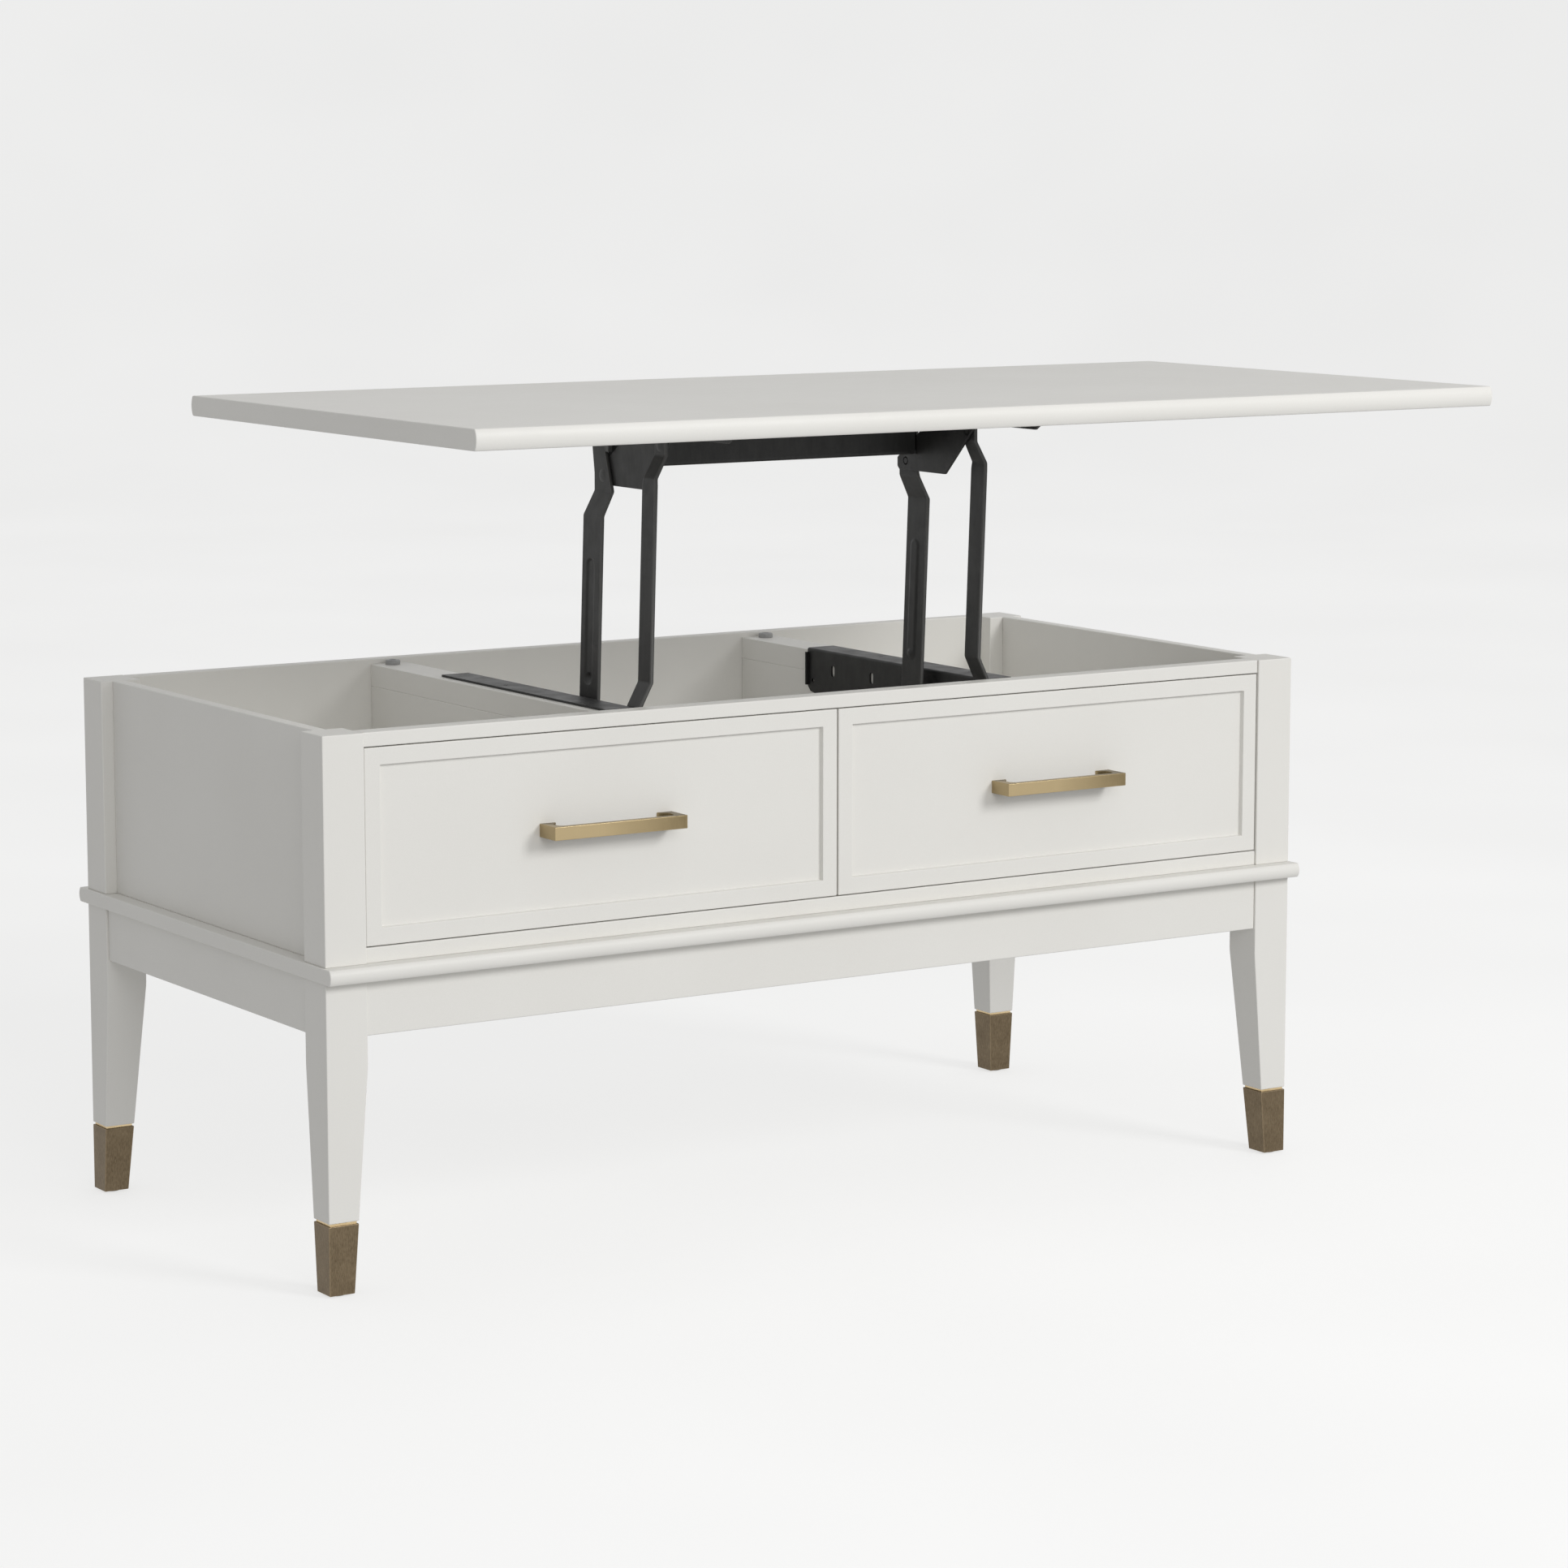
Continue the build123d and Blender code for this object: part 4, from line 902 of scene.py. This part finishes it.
def cross_head(centre, radius, sense, dome=0.35 * MM, depth=1.2 * MM):
    """A screw head: a low dome, h = dome (1 - (r/R)^2), less a cross recess that is a smooth step of the
    distance from the nearer of its two bars, fading out near the rim."""
    rim = np.array([radius * 0.93, radius, radius])
    radii = np.concatenate([rim, np.linspace(radius * 0.97, radius * 0.04, 16)])
    heights = np.concatenate([[-depth, -depth * 0.9, -0.15 * MM], dome * (1.0 - (radii[3:] / radius) ** 2)])
    rings = turned_shell(centre, 2, sense, radii, heights, 64)
    offset = rings[..., :2] - np.asarray(centre)[:2]
    bar = np.min(np.abs(offset), axis=-1)
    reach = np.hypot(offset[..., 0], offset[..., 1])
    slot_wall = 1.0 - smooth_step(bar, 0.35 * MM, 0.7 * MM)
    slot_end = 1.0 - smooth_step(reach, 1.9 * MM, 2.5 * MM)
    cut = 0.9 * MM * slot_wall * slot_end
    cut[:3] = 0.0
    rings[..., 2] -= sense * cut
    return rings


SCREW_HEAD, SCREW_DOME = 4.1 * MM, 0.1 * MM
RAIL_SCREW_LINE, RAIL_SCREW_STEPS = 200 * MM, (89.0 * MM, 232.0 * MM)
BRACKET_SCREW_LINE, BRACKET_SCREW_STEPS = 142.3 * MM, (-52.0 * MM, 8.0 * MM, 88.0 * MM)

over_rail = float(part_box("base_rail_screws")[1][2])
rail_screws = [
    cross_head((side * RAIL_SCREW_LINE, FRAME_FRONT + step, over_rail), SCREW_HEAD, 1.0, SCREW_DOME)
    for side in SIDES.values()
    for step in RAIL_SCREW_STEPS
]
surface(
    "rail_screw_heads", rail_screws, "root", "black_fastener", ["base_rail_screws"]
)
under_top = float(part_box("bracket_screws")[0][2])
bracket_screws = [
    cross_head((side * BRACKET_SCREW_LINE, FRAME_FRONT + step, under_top), SCREW_HEAD, -1.0, SCREW_DOME)
    for side in SIDES.values()
    for step in BRACKET_SCREW_STEPS
]
surface(
    "bracket_screw_heads", bracket_screws, "top", "black_fastener", ["bracket_screws"]
)

BUMPER_RADII = np.array([5.9, 6.6, 6.8, 6.8, 6.5, 5.8, 4.6, 3.4, 3.0, 2.9, 1.0]) * MM
BUMPER_HEIGHTS = np.array([0.0, 0.1, 0.5, 3.2, 4.0, 4.4, 4.5, 4.4, 4.1, 2.6, 2.5]) * MM
bumper_low, bumper_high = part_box("lid_bumpers")
bumper_x = float(bumper_high[0]) - 6.8 * MM
bumper_y = float(bumper_low[1] + bumper_high[1]) / 2
bumpers = [
    turned_shell((side * bumper_x, bumper_y, float(bumper_low[2])), 2, 1.0, BUMPER_RADII, BUMPER_HEIGHTS)
    for side in SIDES.values()
]
surface("lid_bumper_pads", bumpers, "root", "grey_bumper", ["lid_bumpers"])
bumper_screw_z = float(bumper_low[2]) + 3.1 * MM
bumper_screws = [
    cross_head((side * bumper_x, bumper_y, bumper_screw_z), 2.7 * MM, 1.0, 0.4 * MM, 0.5 * MM)
    for side in SIDES.values()
]
surface("bumper_screws", bumper_screws, "root", "zinc_steel")


SPRING_HOOK_BACK, SPRING_EYE_DROP, SPRING_HOOK_REACH = 297 * MM, 15 * MM, 9 * MM
SPRING_WIRE, SPRING_RADIUS, SPRING_TURNS = 0.75 * MM, 3.6 * MM, 78


def lift_spring(name):
    """A close-wound extension spring: a helix of mean radius 3.6 mm about the line from the arm's foot to
    the rail's lug, with a round hook at each end that lies in the upright plane."""
    node = f"lift_spring_{name}"
    low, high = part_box(node)
    x = float(low[0] + high[0]) / 2
    eye = np.array([x, REAR_LOWER[0], REAR_LOWER[1] - SPRING_EYE_DROP])
    hook = np.array([x, FRAME_FRONT + SPRING_HOOK_BACK, float(high[2] + low[2]) - eye[2]])
    direction = (hook - eye) / np.linalg.norm(hook - eye)
    sideways = np.array([1.0, 0.0, 0.0])
    upward = np.cross(sideways, direction)
    start, end = eye + direction * SPRING_HOOK_REACH, hook - direction * SPRING_HOOK_REACH
    t = np.linspace(0.0, 1.0, SPRING_TURNS * 14)[:, None]
    angle = 2 * math.pi * SPRING_TURNS * t
    round_line = np.cos(angle) * upward + np.sin(angle) * sideways
    coil = start + (end - start) * t + SPRING_RADIUS * round_line
    shells = [tube_shell(coil, SPRING_WIRE, direction)]
    for root, tip, out in ((start, eye, -direction), (end, hook, direction)):
        bend = np.linspace(-0.6 * math.pi, 0.95 * math.pi, 28)[:, None]
        loop = tip + 3.0 * MM * (np.cos(bend) * out + np.sin(bend) * upward)
        below = root - SPRING_RADIUS * upward
        lead = below + (loop[0] - below) * np.linspace(0, 0.9, 8)[:, None]
        shells.append(tube_shell(np.concatenate([lead, loop]), SPRING_WIRE, sideways))
    piece = surface(f"{node}_coil", shells, None, "spring_steel", [node], 60.0)
    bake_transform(piece)


for name in SIDES:
    lift_spring(name)


# ---- floor, light and camera -------------------------------------------------------------

PAPER_GLOW = 0.68
PAPER_DARK, PAPER_LIGHT = (0.29, 0.29, 0.288), (0.33, 0.33, 0.328)
SPOKES = 96


def studio_floor():
    """A round pale floor that curves up into a wall on every side: its radius and height follow a flat
    disc, a quarter circle and a straight wall, swept once round the upright axis."""
    middle, flat, curve, top = 0.02, 7.0, 3.0, 8.0
    rise = np.linspace(0.0, math.pi / 2, 24)
    radius = np.concatenate([[middle], flat + curve * np.sin(rise), [flat + curve]])
    height = np.concatenate([[0.0], curve * (1.0 - np.cos(rise)), [top]])
    angle = np.linspace(0.0, 2 * math.pi, SPOKES + 1)[:-1]
    points = np.stack(
        [
            radius[:, None] * np.cos(angle)[None, :],
            radius[:, None] * np.sin(angle)[None, :],
            np.repeat(height[:, None], SPOKES, 1),
        ],
        axis=-1,
    ).reshape(-1, 3)
    row, column = np.meshgrid(np.arange(len(radius) - 1), np.arange(SPOKES), indexing="ij")
    start, after = row * SPOKES + column, row * SPOKES + (column + 1) % SPOKES
    faces = np.stack([start, start + SPOKES, after + SPOKES, after], axis=-1).reshape(-1, 4)
    mesh = bpy.data.meshes.new("studio_floor")
    mesh.from_pydata(points.tolist(), [], faces.tolist() + [list(range(SPOKES))])
    mesh.shade_smooth()
    floor = bpy.data.objects.new("studio_floor", mesh)
    bpy.context.scene.collection.objects.link(floor)
    finish, tree, shader, place = new_finish("studio_paper")
    tone = noise(tree, place, 1.4, detail=2.0)
    tree.links.new(two_tones(tree, tone, PAPER_DARK, PAPER_LIGHT), shader.inputs["Base Color"])
    shader.inputs["Roughness"].default_value = 0.9
    shader.inputs["Specular IOR Level"].default_value = 0.1
    shader.inputs["Emission Color"].default_value = (1.0, 1.0, 0.995, 1.0)
    shader.inputs["Emission Strength"].default_value = PAPER_GLOW
    mesh.materials.append(finish)
    floor.visible_diffuse = False
    floor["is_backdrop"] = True


TABLE_MIDDLE = (0.0, 0.0, 0.4)


def soft_box(name, place, size, power):
    """A large white rectangular lamp aimed at the middle of the table."""
    lamp = bpy.data.lights.new(name, "AREA")
    lamp.shape = "RECTANGLE"
    lamp.size, lamp.size_y = size
    lamp.energy = power
    obj = bpy.data.objects.new(name, lamp)
    obj.location = place
    obj.rotation_mode = "QUATERNION"
    obj.rotation_quaternion = (Vector(TABLE_MIDDLE) - Vector(place)).to_track_quat("-Z", "Y")
    obj.visible_camera = False
    bpy.context.scene.collection.objects.link(obj)


def studio_world(strength):
    """An even pale surround that fills the shadows."""
    world = bpy.data.worlds.new("studio")
    world.use_nodes = True
    background = world.node_tree.nodes["Background"]
    background.inputs["Color"].default_value = (1.0, 1.0, 1.0, 1.0)
    background.inputs["Strength"].default_value = strength
    bpy.context.scene.world = world


def main_camera():
    """A long lens from the front left, a little above the open top."""
    centre = (cad_low + cad_high) / 2
    aim = centre + Vector((0.009, -0.004, 0.010))
    azimuth, elevation, distance = math.radians(-32.75), math.radians(8.32), 4.073
    back = Vector(
        (
            math.sin(azimuth) * math.cos(elevation),
            -math.cos(azimuth) * math.cos(elevation),
            math.sin(elevation),
        )
    )
    data = bpy.data.cameras.new("camera")
    data.sensor_width = 36.0
    data.lens = 105.4
    data.clip_end = 60.0
    camera = bpy.data.objects.new("camera", data)
    camera.location = aim + back * distance
    camera.rotation_mode = "QUATERNION"
    camera.rotation_quaternion = (-back).to_track_quat("-Z", "Y")
    bpy.context.scene.collection.objects.link(camera)
    bpy.context.scene.camera = camera


studio_floor()
studio_world(0.44)
soft_box("key", (1.9, -4.2, 2.6), (1.5, 1.5), 101.0)
soft_box("front_fill", (-1.0, -4.8, 2.2), (2.6, 2.0), 50.0)
soft_box("overhead", (0.0, 0.6, 4.2), (3.6, 3.6), 6.0)
main_camera()
bpy.context.scene.view_settings.view_transform = "Standard"

low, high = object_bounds()
